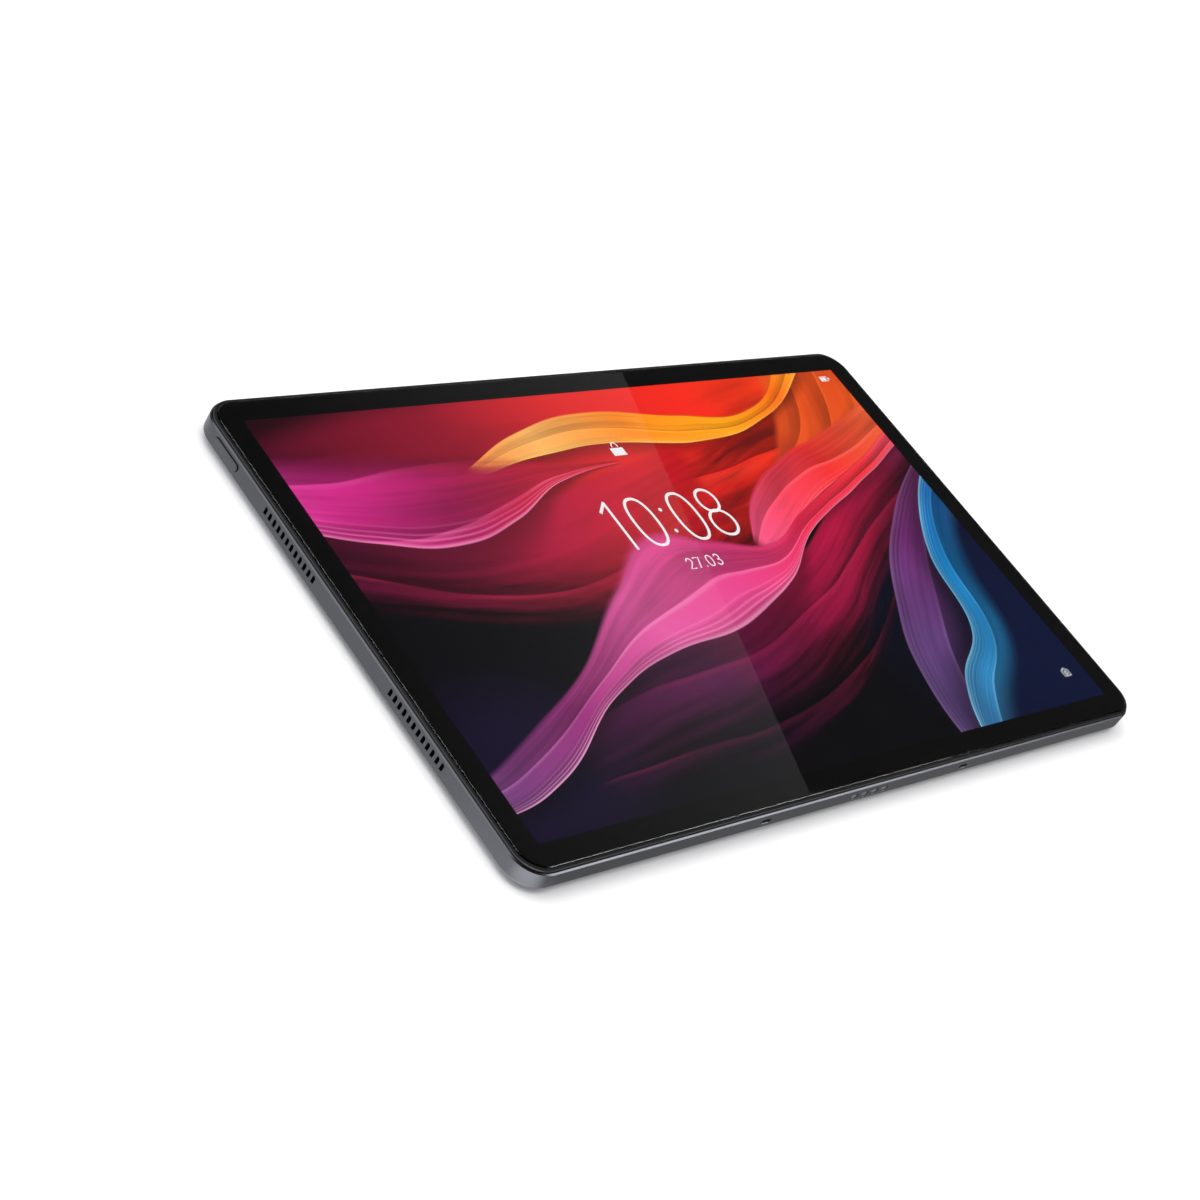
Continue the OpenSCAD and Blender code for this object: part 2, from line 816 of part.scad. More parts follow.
module usb_tongue() {
    x0 = body_w / 2 - usb_face - usb_len + usb_end;
    x1 = x0 + tongue_root;
    color("black") {
        span([x0, -tongue_w / 2, port_z - tongue_t / 2],
             [x1 + tongue_len, tongue_w / 2, port_z + tongue_t / 2]);
        span([x0, -tongue_w / 2, port_z - tongue_root_t / 2], [x1, tongue_w / 2, port_z + tongue_root_t / 2]);
    }
}

module usb_contacts() {
    x0 = body_w / 2 - usb_face - usb_len + usb_end + tongue_root + 0.1 + contact_size[0] / 2;
    lift = (tongue_t + contact_size[2]) / 2;
    color("gold") for (i = [0 : contact_count - 1], side = [-1, 1])
        translate([x0, (i - (contact_count - 1) / 2) * contact_pitch, port_z + side * lift])
            cube(contact_size, center = true);
}

// Closed speaker box behind a grille
module speaker(side, sy) {
    x1 = body_w / 2 - ledge_d - 0.1;
    r = speaker_r;
    b = speaker_bevel;
    z1 = speaker_z + speaker_t;
    color("black") translate([side * (x1 - speaker_w / 2), sy * grille_y, 0]) {
        rimmed_slab(speaker_w, speaker_h, r, [
            [r, speaker_z], [b, speaker_z], [0, speaker_z + b], [0, z1 - b], [b, z1], [r, z1],
        ], speaker_z, z1);
    }
}

module speaker_left_front() speaker(-1, -1);

module speaker_left_back() speaker(-1, 1);

module speaker_right_front() speaker(1, -1);

module speaker_right_back() speaker(1, 1);

module speaker_meshes() {
    color("dimgray") for (side = [-1, 1], sy = [-1, 1])
        translate([side * (key_wall - mesh_t / 2), sy * grille_y, side_z])
            cube([mesh_t, grille_count * grille_pitch + mesh_over, mesh_h], center = true);
}

module dock_pad(i, grow, y0, y1) {
    translate([(i - (dock_count - 1) / 2) * dock_pitch, y1, dock_z]) rotate([90, 0, 0])
        linear_extrude(y1 - y0) slot_outline(dock_w + 2 * grow, dock_h + 2 * grow);
}

module dock_contacts() {
    color("silver") for (i = [0 : dock_count - 1])
        dock_pad(i, 0, dock_pin_y[0] - body_h / 2, dock_pin_y[1] - body_h / 2);
}

module dock_base() {
    y0 = -body_h / 2;
    color(black) difference() {
        union() {
            for (i = [0 : dock_count - 1])
                dock_pad(i, dock_ring - gap, y0 + dock_collar_y[0], y0 + dock_collar_y[1]);
            span([-dock_block[0] / 2, y0 + wall + gap, dock_block_z[0]],
                 [dock_block[0] / 2, y0 + wall + dock_block[1], dock_block_z[1]]);
        }
        for (i = [0 : dock_count - 1]) dock_pad(i, dock_pin_play, y0 - 1, y0 + dock_pin_y[1] + 0.1);
    }
}

module dock_liners() {
    y0 = -body_h / 2;
    color(black) for (side = [-1, 1])
        translate([side * dock_slot_x, y0 + dock_slot_depth - gap, dock_z]) rotate([90, 0, 0])
            difference() {
                linear_extrude(dock_slot_depth - 0.2)
                    slot_outline(dock_slot_w - 2 * gap, dock_slot_h - 2 * gap);
                translate([0, 0, liner_floor]) linear_extrude(dock_slot_depth)
                    slot_outline(dock_slot_w - 2 * liner_floor, dock_slot_h - 2 * liner_floor);
            }
}

module dock_magnets() {
    y0 = -body_h / 2 + wall + 0.2;
    color("silver") for (x = [-magnet_x, magnet_x])
        span([x - magnet_w / 2, y0, magnet_z[0]], [x + magnet_w / 2, y0 + magnet_d, magnet_z[1]]);
}

module front_camera() {
    color("black") translate([0, front_cam_y, 0]) rotate_extrude() polygon(concat([
        [0, front_cam_z], [front_cam_r, front_cam_z], [front_cam_r, front_cam_shoulder],
    ], [for (p = front_cam_face) [p[0], back_z + p[1]]]));
}

module light_sensor() {
    color("black") span([sensor_x - sensor_w / 2, front_cam_y - sensor_d / 2, sensor_z[0]],
                        [sensor_x + sensor_w / 2, front_cam_y + sensor_d / 2, sensor_z[1]]);
}

module microphones() {
    y1 = back_wall - 0.1;
    color("gold") for (x = [-mic_x, mic_x])
        span([x - mic_w / 2, y1 - mic_d, mic_z[0]], [x + mic_w / 2, y1, mic_z[1]]);
}

module vibration_motor() {
    color("silver") translate([motor_at[0], motor_at[1], deck_z + 0.1]) cylinder(r = motor_r, h = motor_t);
}

module wifi_antennas() {
    y1 = back_wall - 0.2;
    color("tan") for (x = [-antenna_x, antenna_x])
        span([x - antenna_w / 2, y1 - antenna_d, antenna_z[0]], [x + antenna_w / 2, y1, antenna_z[1]]);
}

side_frame();
antenna_rail();
antenna_breaks();
display_ring();
cover_glass();
border_ink();
glass_adhesive();
lcd_cell();
light_guide();
reflector_tray();
led_strip();
display_flex();
middle_plate();
rear_panel();
rear_band();
graphite_sheet();
battery_left();
battery_right();
battery_board();
main_board();
shield_cans();
board_screws();
usb_board();
board_flex();
camera_island();
lens_ring();
lens_glass();
lens_hood();
camera_module();
focus_barrel();
flash_lens();
flash_lamp();
power_button();
power_switch();
volume_rocker();
volume_switches();
key_flex();
card_tray();
card_seal();
card_reader();
usb_shell();
usb_tongue();
usb_contacts();
speaker_left_front();
speaker_left_back();
speaker_right_front();
speaker_right_back();
speaker_meshes();
dock_contacts();
dock_base();
dock_liners();
dock_magnets();
front_camera();
light_sensor();
microphones();
vibration_motor();
wifi_antennas();
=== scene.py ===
import json
import math

import bmesh
import bpy
from mathutils import Matrix, Vector

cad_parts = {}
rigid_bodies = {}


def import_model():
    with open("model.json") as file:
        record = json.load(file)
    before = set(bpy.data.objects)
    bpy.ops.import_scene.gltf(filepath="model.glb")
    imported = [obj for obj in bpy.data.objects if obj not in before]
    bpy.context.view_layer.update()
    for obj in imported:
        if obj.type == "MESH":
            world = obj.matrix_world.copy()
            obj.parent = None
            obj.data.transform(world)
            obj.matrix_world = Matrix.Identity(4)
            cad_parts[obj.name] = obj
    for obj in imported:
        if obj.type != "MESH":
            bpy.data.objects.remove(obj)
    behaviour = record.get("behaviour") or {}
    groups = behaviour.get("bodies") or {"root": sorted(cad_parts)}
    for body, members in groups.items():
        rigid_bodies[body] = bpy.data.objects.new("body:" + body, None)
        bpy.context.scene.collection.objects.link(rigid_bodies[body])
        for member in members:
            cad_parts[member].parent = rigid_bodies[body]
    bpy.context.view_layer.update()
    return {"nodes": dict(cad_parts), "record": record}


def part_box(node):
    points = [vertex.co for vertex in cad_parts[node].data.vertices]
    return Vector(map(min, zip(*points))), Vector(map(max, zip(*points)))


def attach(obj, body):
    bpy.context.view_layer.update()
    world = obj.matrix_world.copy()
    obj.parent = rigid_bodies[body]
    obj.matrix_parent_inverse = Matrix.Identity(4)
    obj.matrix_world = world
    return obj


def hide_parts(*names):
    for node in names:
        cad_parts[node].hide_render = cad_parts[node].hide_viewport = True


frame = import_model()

scene = bpy.context.scene
scene.view_settings.view_transform = "Standard"
toMetres = 0.001


# All mesh code works in millimetres, and finishPiece turns it into metres
def boxMm(node):
    low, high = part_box(node)
    return low / toMetres, high / toMetres


def centreMm(node):
    low, high = boxMm(node)
    return (low + high) / 2


def tone(red, green, blue):
    def linear(value):
        value /= 255
        return value / 12.92 if value <= 0.04045 else ((value + 0.055) / 1.055) ** 2.4
    return (linear(red), linear(green), linear(blue), 1)


# ---- shader graphs

# One socket of a graph, on which sums can be written
class Wire:
    def __init__(self, graph, socket):
        self.graph, self.socket = graph, socket

    def maths(self, operation, *values):
        return self.graph.node("ShaderNodeMath", {"operation": operation}, values)

    def __add__(self, other): return self.maths("ADD", self, other)
    def __radd__(self, other): return self.maths("ADD", other, self)
    def __sub__(self, other): return self.maths("SUBTRACT", self, other)
    def __rsub__(self, other): return self.maths("SUBTRACT", other, self)
    def __mul__(self, other): return self.maths("MULTIPLY", self, other)
    def __rmul__(self, other): return self.maths("MULTIPLY", other, self)
    def __truediv__(self, other): return self.maths("DIVIDE", self, other)
    def __pow__(self, other): return self.maths("POWER", self, other)
    def sine(self): return self.maths("SINE", self)
    def size(self): return self.maths("ABSOLUTE", self)
    def largest(self, other): return self.maths("MAXIMUM", self, other)
    def smallest(self, other): return self.maths("MINIMUM", self, other)
    def part(self): return self.maths("FRACT", self)

    # 0 at low and 1 at high, with a soft start and end
    def ease(self, low, high):
        return self.graph.node("ShaderNodeMapRange", {"interpolation_type": "SMOOTHSTEP"},
                               {"Value": self, "From Min": low, "From Max": high})

    def spread(self, low, high):
        return self.graph.node("ShaderNodeMapRange", {"clamp": True},
                               {"Value": self, "To Min": low, "To Max": high})

    def output(self, name):
        return Wire(self.graph, self.socket.node.outputs[name])


class Graph:
    def __init__(self, tree):
        self.tree = tree
        tree.nodes.clear()

    # Makes any node: its settings first, then the values or links of its sockets
    def node(self, kind, settings=None, inputs=()):
        made = self.tree.nodes.new(kind)
        for key, value in (settings or {}).items():
            if key == "stops":
                elements = made.color_ramp.elements
                while len(elements) < len(value):
                    elements.new(1)
                for element, (place, colour) in zip(elements, value):
                    element.position, element.color = place, colour
            elif key == "curve":
                line = made.mapping.curves[0]
                while len(line.points) < len(value):
                    line.points.new(0.5, 0.5)
                for point, place in zip(line.points, value):
                    point.location = place
                made.mapping.update()
            else:
                setattr(made, key, value)
        pairs = inputs.items() if isinstance(inputs, dict) else enumerate(inputs)
        for key, value in pairs:
            if isinstance(key, int):
                socket = made.inputs[key]
            else:
                socket = next(s for s in made.inputs
                              if key == s.identifier or (key == s.name and s.enabled))
            if isinstance(value, Wire):
                self.tree.links.new(value.socket, socket)
            else:
                socket.default_value = value
        return Wire(self, next((s for s in made.outputs if s.enabled), None)) if made.outputs else made

    def blend(self, first, second, amount, how="MIX"):
        return self.node("ShaderNodeMix", {"data_type": "RGBA", "blend_type": how},
                         {"Factor_Float": amount, "A_Color": first, "B_Color": second})

    def scaled(self, vector, x, y, z, turn=(0, 0, 0)):
        return self.node("ShaderNodeMapping", None,
                         {"Vector": vector, "Rotation": turn, "Scale": (x, y, z)})

    def noise(self, vector, scale, detail=3, rough=0.55, lumps=0):
        return self.node("ShaderNodeTexNoise", None,
                         {"Vector": vector, "Scale": scale, "Detail": detail,
                          "Roughness": rough, "Distortion": lumps})

    def ramp(self, value, stops):
        return self.node("ShaderNodeValToRGB", {"stops": stops}, {"Fac": value})

    def bump(self, height, distance, strength=1, under=None):
        inputs = {"Height": height, "Distance": distance, "Strength": strength}
        if under:
            inputs["Normal"] = under
        return self.node("ShaderNodeBump", None, inputs)

    def surface(self, **sockets):
        inputs = {key.replace("_", " "): value for key, value in sockets.items()}
        return self.node("ShaderNodeBsdfPrincipled", None, inputs)

    def end(self, shader, kind="ShaderNodeOutputMaterial"):
        self.node(kind, None, {"Surface": shader})


def newFinish(name):
    material = bpy.data.materials.new(name)
    material.use_nodes = True
    graph = Graph(material.node_tree)
    place = graph.node("ShaderNodeTexCoord").output("Object")
    return material, graph, place


# Finely blasted and anodised metal
def anodised(name, colour, rough=0.34, grain=2600, wear=0.06, shift=0.05):
    material, graph, place = newFinish(name)
    fine = graph.noise(place, grain, 2, 0.6)
    cloud = graph.noise(place, 22, 3, 0.5)
    rubbed = graph.noise(graph.scaled(place, 1, 1, 9), 160, 4, 0.7)
    darker = tuple(c * (1 - shift * 2) for c in colour[:3]) + (1,)
    lighter = tuple(min(1, c * (1 + shift * 2)) for c in colour[:3]) + (1,)
    base = graph.blend(darker, lighter, (fine * 0.55 + cloud * 0.45).ease(0.3, 0.7))
    roughness = rough + (rubbed - 0.5) * wear + (cloud - 0.5) * 0.05 + (fine - 0.5) * 0.08
    graph.end(graph.surface(Base_Color=base, Metallic=1.0, Roughness=roughness,
                            Normal=graph.bump(fine, 0.00002, 0.35)))
    return material


def polished(name, colour, rough=0.1):
    material, graph, place = newFinish(name)
    hair = graph.noise(graph.scaled(place, 1, 1, 14), 420, 4, 0.7)
    cloud = graph.noise(place, 60, 2)
    base = graph.blend(tuple(c * 0.9 for c in colour[:3]) + (1,), colour, cloud)
    graph.end(graph.surface(Base_Color=base, Metallic=1.0,
                            Roughness=rough + (hair - 0.5) * 0.08 + (cloud - 0.5) * 0.04,
                            Normal=graph.bump(hair, 0.000006, 0.3)))
    return material


# Thin cold-rolled or plated sheet, with fine lines along one direction
def rolled(name, colour, rough=0.3, along=(1, 14, 14), lines=700):
    material, graph, place = newFinish(name)
    grain = graph.noise(graph.scaled(place, *along), lines / 10, 5, 0.75)
    spots = graph.noise(place, 140, 3)
    base = graph.blend(tuple(c * 0.82 for c in colour[:3]) + (1,), colour, grain)
    graph.end(graph.surface(Base_Color=base, Metallic=1.0,
                            Roughness=rough + (grain - 0.5) * 0.16 + (spots - 0.5) * 0.12,
                            Normal=graph.bump(grain, 0.00001, 0.5)))
    return material


# Moulded plastic or rubber with a fine spark-eroded texture
def moulded(name, colour, rough=0.45, grain=1800, depth=0.00002, coat=0.0):
    material, graph, place = newFinish(name)
    pits = graph.noise(place, grain, 3, 0.65)
    cloud = graph.noise(place, 35, 2)
    base = graph.blend(tuple(c * 0.8 for c in colour[:3]) + (1,),
                       tuple(min(1, c * 1.2) for c in colour[:3]) + (1,), cloud * 0.6 + pits * 0.4)
    graph.end(graph.surface(Base_Color=base, Metallic=0.0,
                            Roughness=rough + (pits - 0.5) * 0.14 + (cloud - 0.5) * 0.1,
                            Coat_Weight=coat, Coat_Roughness=0.12, Normal=graph.bump(pits, depth, 0.6)))
    return material


def castAlloy():
    material, graph, place = newFinish("castMagnesium")
    sand = graph.noise(place, 900, 4, 0.7)
    flow = graph.noise(place, 45, 3, 0.6, 1.5)
    base = graph.blend(tone(150, 150, 152), tone(205, 205, 207), flow * 0.7 + sand * 0.3)
    graph.end(graph.surface(Base_Color=base, Metallic=1.0, Roughness=0.48 + (sand - 0.5) * 0.3,
                            Normal=graph.bump(sand, 0.00005, 0.6)))
    return material


def graphiteSheet():
    material, graph, place = newFinish("graphiteFoil")
    flakes = graph.node("ShaderNodeTexVoronoi", None, {"Vector": place, "Scale": 900})
    cloud = graph.noise(place, 60, 4, 0.6)
    base = graph.blend(tone(58, 58, 62), tone(96, 96, 100), flakes * 0.5 + cloud * 0.5)
    graph.end(graph.surface(Base_Color=base, Metallic=0.4, Roughness=0.4 + (flakes - 0.4) * 0.3,
                            Normal=graph.bump(cloud, 0.00004, 0.5)))
    return material


def batteryPouch():
    material, graph, place = newFinish("laminatedPouch")
    crease = graph.noise(graph.scaled(place, 1, 0.4, 1), 70, 5, 0.65, 0.8)
    weave = graph.noise(place, 1600, 2)
    base = graph.blend(tone(92, 94, 98), tone(128, 130, 134), crease)
    graph.end(graph.surface(Base_Color=base, Metallic=0.75,
                            Roughness=0.36 + (crease - 0.5) * 0.2 + (weave - 0.5) * 0.08,
                            Normal=graph.bump(crease, 0.00015, 0.6, graph.bump(weave, 0.00001, 0.3))))
    return material


# Solder mask over copper tracks and rows of small pads
def circuitBoard():
    material, graph, place = newFinish("circuitBoard")
    cells = graph.node("ShaderNodeTexBrick", {"offset": 0.5},
                       {"Vector": place, "Scale": 420.0, "Color1": tone(8, 60, 34), "Color2": tone(10, 72, 40),
                        "Mortar": tone(4, 42, 24), "Mortar Size": 0.012})
    pads = graph.node("ShaderNodeTexVoronoi", {"feature": "F1", "distance": "CHEBYCHEV"},
                      {"Vector": place, "Scale": 520.0, "Randomness": 0.35})
    isPad = 1 - pads.ease(0.17, 0.2)
    patch = graph.noise(place, 90, 2).ease(0.5, 0.56)
    gold = isPad * patch
    base = graph.blend(cells, tone(214, 178, 96), gold)
    graph.end(graph.surface(Base_Color=base, Metallic=gold * 0.9, Roughness=0.42 - gold * 0.14,
                            Normal=graph.bump(gold + cells.output("Fac") * 0.3, 0.00003, 0.6)))
    return material


def flexFilm():
    material, graph, place = newFinish("polyimideFilm")
    split = graph.node("ShaderNodeSeparateXYZ", None, [place])
    tracks = ((split.output("X") + split.output("Y")) * 1400).part().ease(0.35, 0.5)
    haze = graph.noise(place, 120, 3)
    base = graph.blend(tone(176, 96, 20), tone(214, 132, 48), tracks * 0.7 + haze * 0.3)
    graph.end(graph.surface(Base_Color=base, Metallic=tracks * 0.35, Roughness=0.34 + (haze - 0.5) * 0.2,
                            Normal=graph.bump(tracks, 0.00002, 0.5)))
    return material


def wovenMesh():
    material, graph, place = newFinish("wovenDustMesh")
    split = graph.node("ShaderNodeSeparateXYZ", None, [place])
    warp = (split.output("Y") * 16000).sine()
    weft = (split.output("Z") * 16000).sine()
    wires = (warp * weft).size()
    base = graph.blend(tone(26, 26, 28), tone(112, 112, 116), wires)
    graph.end(graph.surface(Base_Color=base, Metallic=0.8, Roughness=0.5 - wires * 0.15,
                            Normal=graph.bump(wires, 0.00006, 0.8)))
    return material


# Clear, strengthened glass: real refraction, and faint smears on the polish
def clearGlass(name, tint=(1, 1, 1, 1), ior=1.5, smear=0.012, rough=0.0):
    material, graph, place = newFinish(name)
    streak = graph.noise(graph.scaled(place, 1, 0.35, 1, (0, 0, 0.6)), 38, 4, 0.6, 0.8)
    touch = graph.noise(place, 9, 2).ease(0.45, 0.75)
    colour = graph.blend(tint, tuple(c * 0.985 for c in tint[:3]) + (1,), streak)
    graph.end(graph.surface(Base_Color=colour, Roughness=streak * touch * smear + rough, IOR=ior,
                            Transmission_Weight=1.0, Normal=graph.bump(streak, 0.0000004, 0.2)))
    return material


def frosted(name, colour, rough=0.25):
    material, graph, place = newFinish(name)
    ring = graph.noise(place, 700, 3)
    base = graph.blend(tuple(c * 0.9 for c in colour[:3]) + (1,), colour, ring)
    graph.end(graph.surface(Base_Color=base, Roughness=rough + (ring - 0.5) * 0.12,
                            Subsurface_Weight=0.2, Subsurface_Radius=(0.001, 0.001, 0.001),
                            Coat_Weight=0.6, Coat_Roughness=0.05, Normal=graph.bump(ring, 0.00001, 0.4)))
    return material


# Black print behind the glass
def printedInk():
    material, graph, place = newFinish("printedBorder")
    dots = graph.noise(place, 2400, 2)
    cloud = graph.noise(place, 30, 2)
    base = graph.blend(tone(5, 5, 6), tone(9, 9, 11), dots * 0.5 + cloud * 0.5)
    graph.end(graph.surface(Base_Color=base, Roughness=0.4 + (cloud - 0.5) * 0.1,
                            Normal=graph.bump(dots, 0.000004, 0.3)))
    return material


# White light from the picture's own digits and signs
def litSign():
    material, graph, place = newFinish("litSign")
    glow = graph.noise(place, 260, 2)
    graph.end(graph.surface(Base_Color=(0, 0, 0, 1), Roughness=0.5,
                            Emission_Color=graph.blend(tone(232, 232, 236), tone(255, 255, 255), glow),
                            Emission_Strength=1.1))
    return material


print("finishes: recipes ready")


# The lit picture: folded silk bands, from the back one to the front one. Points are in halves
# of the lit area, from -1 to 1. A band runs along its angle, between its lower and upper edge.
pictureSetup = {
    "strength": 1.2,
    "width": 240.6,
    "height": 142.6,
    "backdrop": [tone(2, 1, 5), tone(46, 2, 16)],
    "flow": (8, 12, 24),
}
silkBands = [
    {"name": "redCloth", "angle": 14, "seed": 3.1, "threads": 10, "folds": 1.5, "slant": 0.4, "feather": 0.6,
     "lower": [(-0.95, -0.12), (-0.5, -0.30), (-0.1, -0.42), (0.25, -0.22), (0.6, 0.12), (1.15, 0.42)],
     "upper": [(-0.95, 0.96), (-0.5, 1.12), (-0.1, 1.20), (0.25, 1.25), (0.6, 1.3), (1.15, 1.5)],
     "hues": [(0, tone(60, 6, 34)), (0.26, tone(140, 14, 40)), (0.45, tone(220, 34, 36)), (0.62, tone(246, 40, 26)), (0.8, tone(240, 60, 20)), (1, tone(216, 70, 22))],
     "rim": tone(255, 90, 60), "rimWidth": 0.0, "rimPower": 0.0, "dark": 0.1, "topFade": 0.12, "shadow": 0.0, "gain": 2.2},
    {"name": "emberPleats", "angle": 66, "seed": 12.2, "threads": 8, "folds": 3.4, "slant": 0.9,
     "lower": [(0.66, 0.28), (0.90, 0.50), (1.04, 0.85), (1.08, 1.4)],
     "upper": [(0.40, 0.38), (0.56, 0.62), (0.66, 0.90), (0.70, 1.4)],
     "hues": [(0, tone(226, 50, 40)), (0.3, tone(236, 84, 30)), (0.6, tone(226, 78, 24)), (1, tone(150, 30, 14))],
     "rim": tone(255, 150, 60), "rimWidth": 0.05, "rimPower": 0.5, "dark": 0.2, "topFade": 0.08, "shadow": 0.6, "gain": 1.8},
    {"name": "goldRibbon", "angle": 12, "seed": 5.4, "threads": 13, "folds": 1.7, "slant": 0.5,
     "lower": [(-0.50, 0.575), (-0.28, 0.66), (-0.02, 0.71), (0.28, 0.66), (0.55, 0.72), (0.90, 1.06)],
     "upper": [(-0.51, 0.62), (-0.28, 0.80), (-0.02, 0.90), (0.28, 0.82), (0.55, 0.80), (0.80, 1.10)],
     "hues": [(0, tone(240, 130, 60)), (0.2, tone(250, 180, 96)), (0.42, tone(255, 140, 26)), (0.65, tone(255, 164, 20)), (0.85, tone(255, 110, 20)), (1, tone(255, 170, 30))],
     "rim": tone(255, 222, 110), "rimWidth": 0.07, "rimPower": 0.9, "dark": 0.15, "topFade": 0.05, "shadow": 0.55, "gain": 1.9},
    {"name": "plumWisps", "angle": -6, "seed": 21.7, "threads": 9, "folds": 1.6, "slant": 0.4, "feather": 0.85,
     "lower": [(-1.1, 0.02), (-0.75, -0.16), (-0.4, -0.26), (0.0, -0.1), (0.2, 0.1)],
     "upper": [(-1.1, 0.46), (-0.75, 0.36), (-0.4, 0.44), (0.0, 0.60), (0.2, 0.66)],
     "hues": [(0, tone(70, 10, 46)), (0.3, tone(132, 16, 60)), (0.6, tone(176, 20, 56)), (0.85, tone(206, 24, 40)), (1, tone(190, 16, 24))],
     "rim": tone(230, 60, 90), "rimWidth": 0.0, "rimPower": 0.0, "dark": 0.0, "topFade": 0.05, "shadow": 0.0},
    {"name": "magentaFold", "angle": -2, "seed": 1.3, "threads": 11, "folds": 1.5, "slant": -0.5,
     "lower": [(-1.12, 0.50), (-0.88, 0.35), (-0.66, 0.29), (-0.44, 0.37), (-0.24, 0.53), (0.0, 0.60)],
     "upper": [(-1.12, 0.84), (-0.88, 0.80), (-0.66, 0.78), (-0.44, 0.72), (-0.24, 0.64), (0.0, 0.615)],
     "hues": [(0, tone(214, 60, 150)), (0.22, tone(206, 40, 132)), (0.45, tone(168, 26, 92)), (0.7, tone(196, 28, 60)), (1, tone(220, 34, 40))],
     "rim": tone(255, 150, 200), "rimWidth": 0.045, "rimPower": 0.95, "dark": 0.45, "topFade": 0.35, "shadow": 0.55, "gain": 1.8},
    {"name": "coralWave", "angle": 26, "seed": 9.9, "threads": 12, "folds": 1.5, "slant": 0.5,
     "lower": [(0.21, 0.02), (0.36, 0.10), (0.55, 0.27), (0.78, 0.40), (1.12, 0.62)],
     "upper": [(0.205, 0.10), (0.32, 0.34), (0.52, 0.52), (0.70, 0.62), (1.12, 0.86)],
     "hues": [(0, tone(248, 90, 140)), (0.25, tone(250, 70, 96)), (0.5, tone(246, 50, 50)), (0.8, tone(240, 90, 50)), (1, tone(240, 110, 70))],
     "rim": tone(255, 150, 150), "rimWidth": 0.05, "rimPower": 0.8, "dark": 0.3, "topFade": 0.08, "shadow": 0.7, "gain": 1.75},
    {"name": "wineWisps", "angle": 22, "seed": 7.7, "threads": 12, "folds": 2.2, "slant": 0.8, "feather": 0.9,
     "lower": [(-0.75, -1.0), (-0.35, -1.02), (0.0, -0.92), (0.3, -0.72), (0.62, -0.30), (1.12, 0.1)],
     "upper": [(-0.75, -0.60), (-0.35, -0.28), (0.0, -0.22), (0.3, -0.02), (0.62, 0.28), (1.12, 0.60)],
     "hues": [(0, tone(36, 10, 40)), (0.3, tone(86, 20, 70)), (0.5, tone(150, 16, 66)), (0.68, tone(196, 20, 70)), (0.85, tone(150, 16, 60)), (1, tone(90, 30, 80))],
     "rim": tone(230, 60, 110), "rimWidth": 0.0, "rimPower": 0.0, "dark": 0.0, "topFade": 0.04, "shadow": 0.0},
    {"name": "pinkRibbon", "angle": 27, "seed": 2.6, "threads": 14, "folds": 1.6, "slant": 0.55,
     "lower": [(-1.12, -0.88), (-0.82, -0.78), (-0.56, -0.50), (-0.30, -0.345), (0.02, -0.28), (0.24, -0.13), (0.42, 0.10), (0.72, 0.31), (1.12, 0.60)],
     "upper": [(-1.12, -0.76), (-0.82, -0.56), (-0.56, -0.32), (-0.34, -0.02), (-0.12, 0.22), (0.06, 0.14), (0.26, 0.08), (0.44, 0.22), (0.72, 0.40), (1.12, 0.70)],
     "hues": [(0, tone(110, 70, 130)), (0.2, tone(150, 50, 120)), (0.38, tone(226, 90, 160)), (0.52, tone(232, 70, 140)), (0.68, tone(236, 40, 80)), (0.85, tone(244, 50, 60)), (1, tone(240, 90, 110))],
     "rim": tone(255, 182, 220), "rimWidth": 0.05, "rimPower": 0.95, "dark": 0.35, "topFade": 0.12, "shadow": 0.5, "gain": 1.65},
    {"name": "violetTail", "angle": 56, "seed": 15.1, "threads": 9, "folds": 1.8, "slant": 0.4, "hemOn": "upper",
     "lower": [(0.62, -1.2), (0.70, -0.75), (0.82, -0.40), (0.98, -0.02), (1.2, 0.3)],
     "upper": [(0.40, -1.2), (0.42, -0.72), (0.53, -0.34), (0.70, 0.02), (1.08, 0.46)],
     "hues": [(0, tone(86, 70, 120)), (0.35, tone(104, 66, 128)), (0.65, tone(110, 40, 110)), (1, tone(110, 40, 90))],
     "rim": tone(176, 130, 190), "rimWidth": 0.06, "rimPower": 0.35, "dark": 0.8, "topFade": 0.6, "shadow": 0.6},
    {"name": "blueSail", "angle": 52, "seed": 6.5, "threads": 13, "folds": 1.7, "slant": 0.6, "hemOn": "upper",
     "lower": [(0.54, -1.2), (0.70, -0.90), (0.86, -0.62), (0.93, -0.22), (1.05, 0.08), (1.3, 0.3)],
     "upper": [(0.44, -1.2), (0.55, -0.78), (0.72, -0.52), (0.79, -0.12), (0.90, 0.16), (1.12, 0.46)],
     "hues": [(0, tone(60, 110, 160)), (0.3, tone(50, 140, 196)), (0.55, tone(20, 130, 196)), (0.8, tone(20, 104, 176)), (1, tone(20, 90, 160))],
     "rim": tone(150, 220, 246), "rimWidth": 0.07, "rimPower": 0.85, "dark": 0.8, "topFade": 0.5, "shadow": 0.6},
]


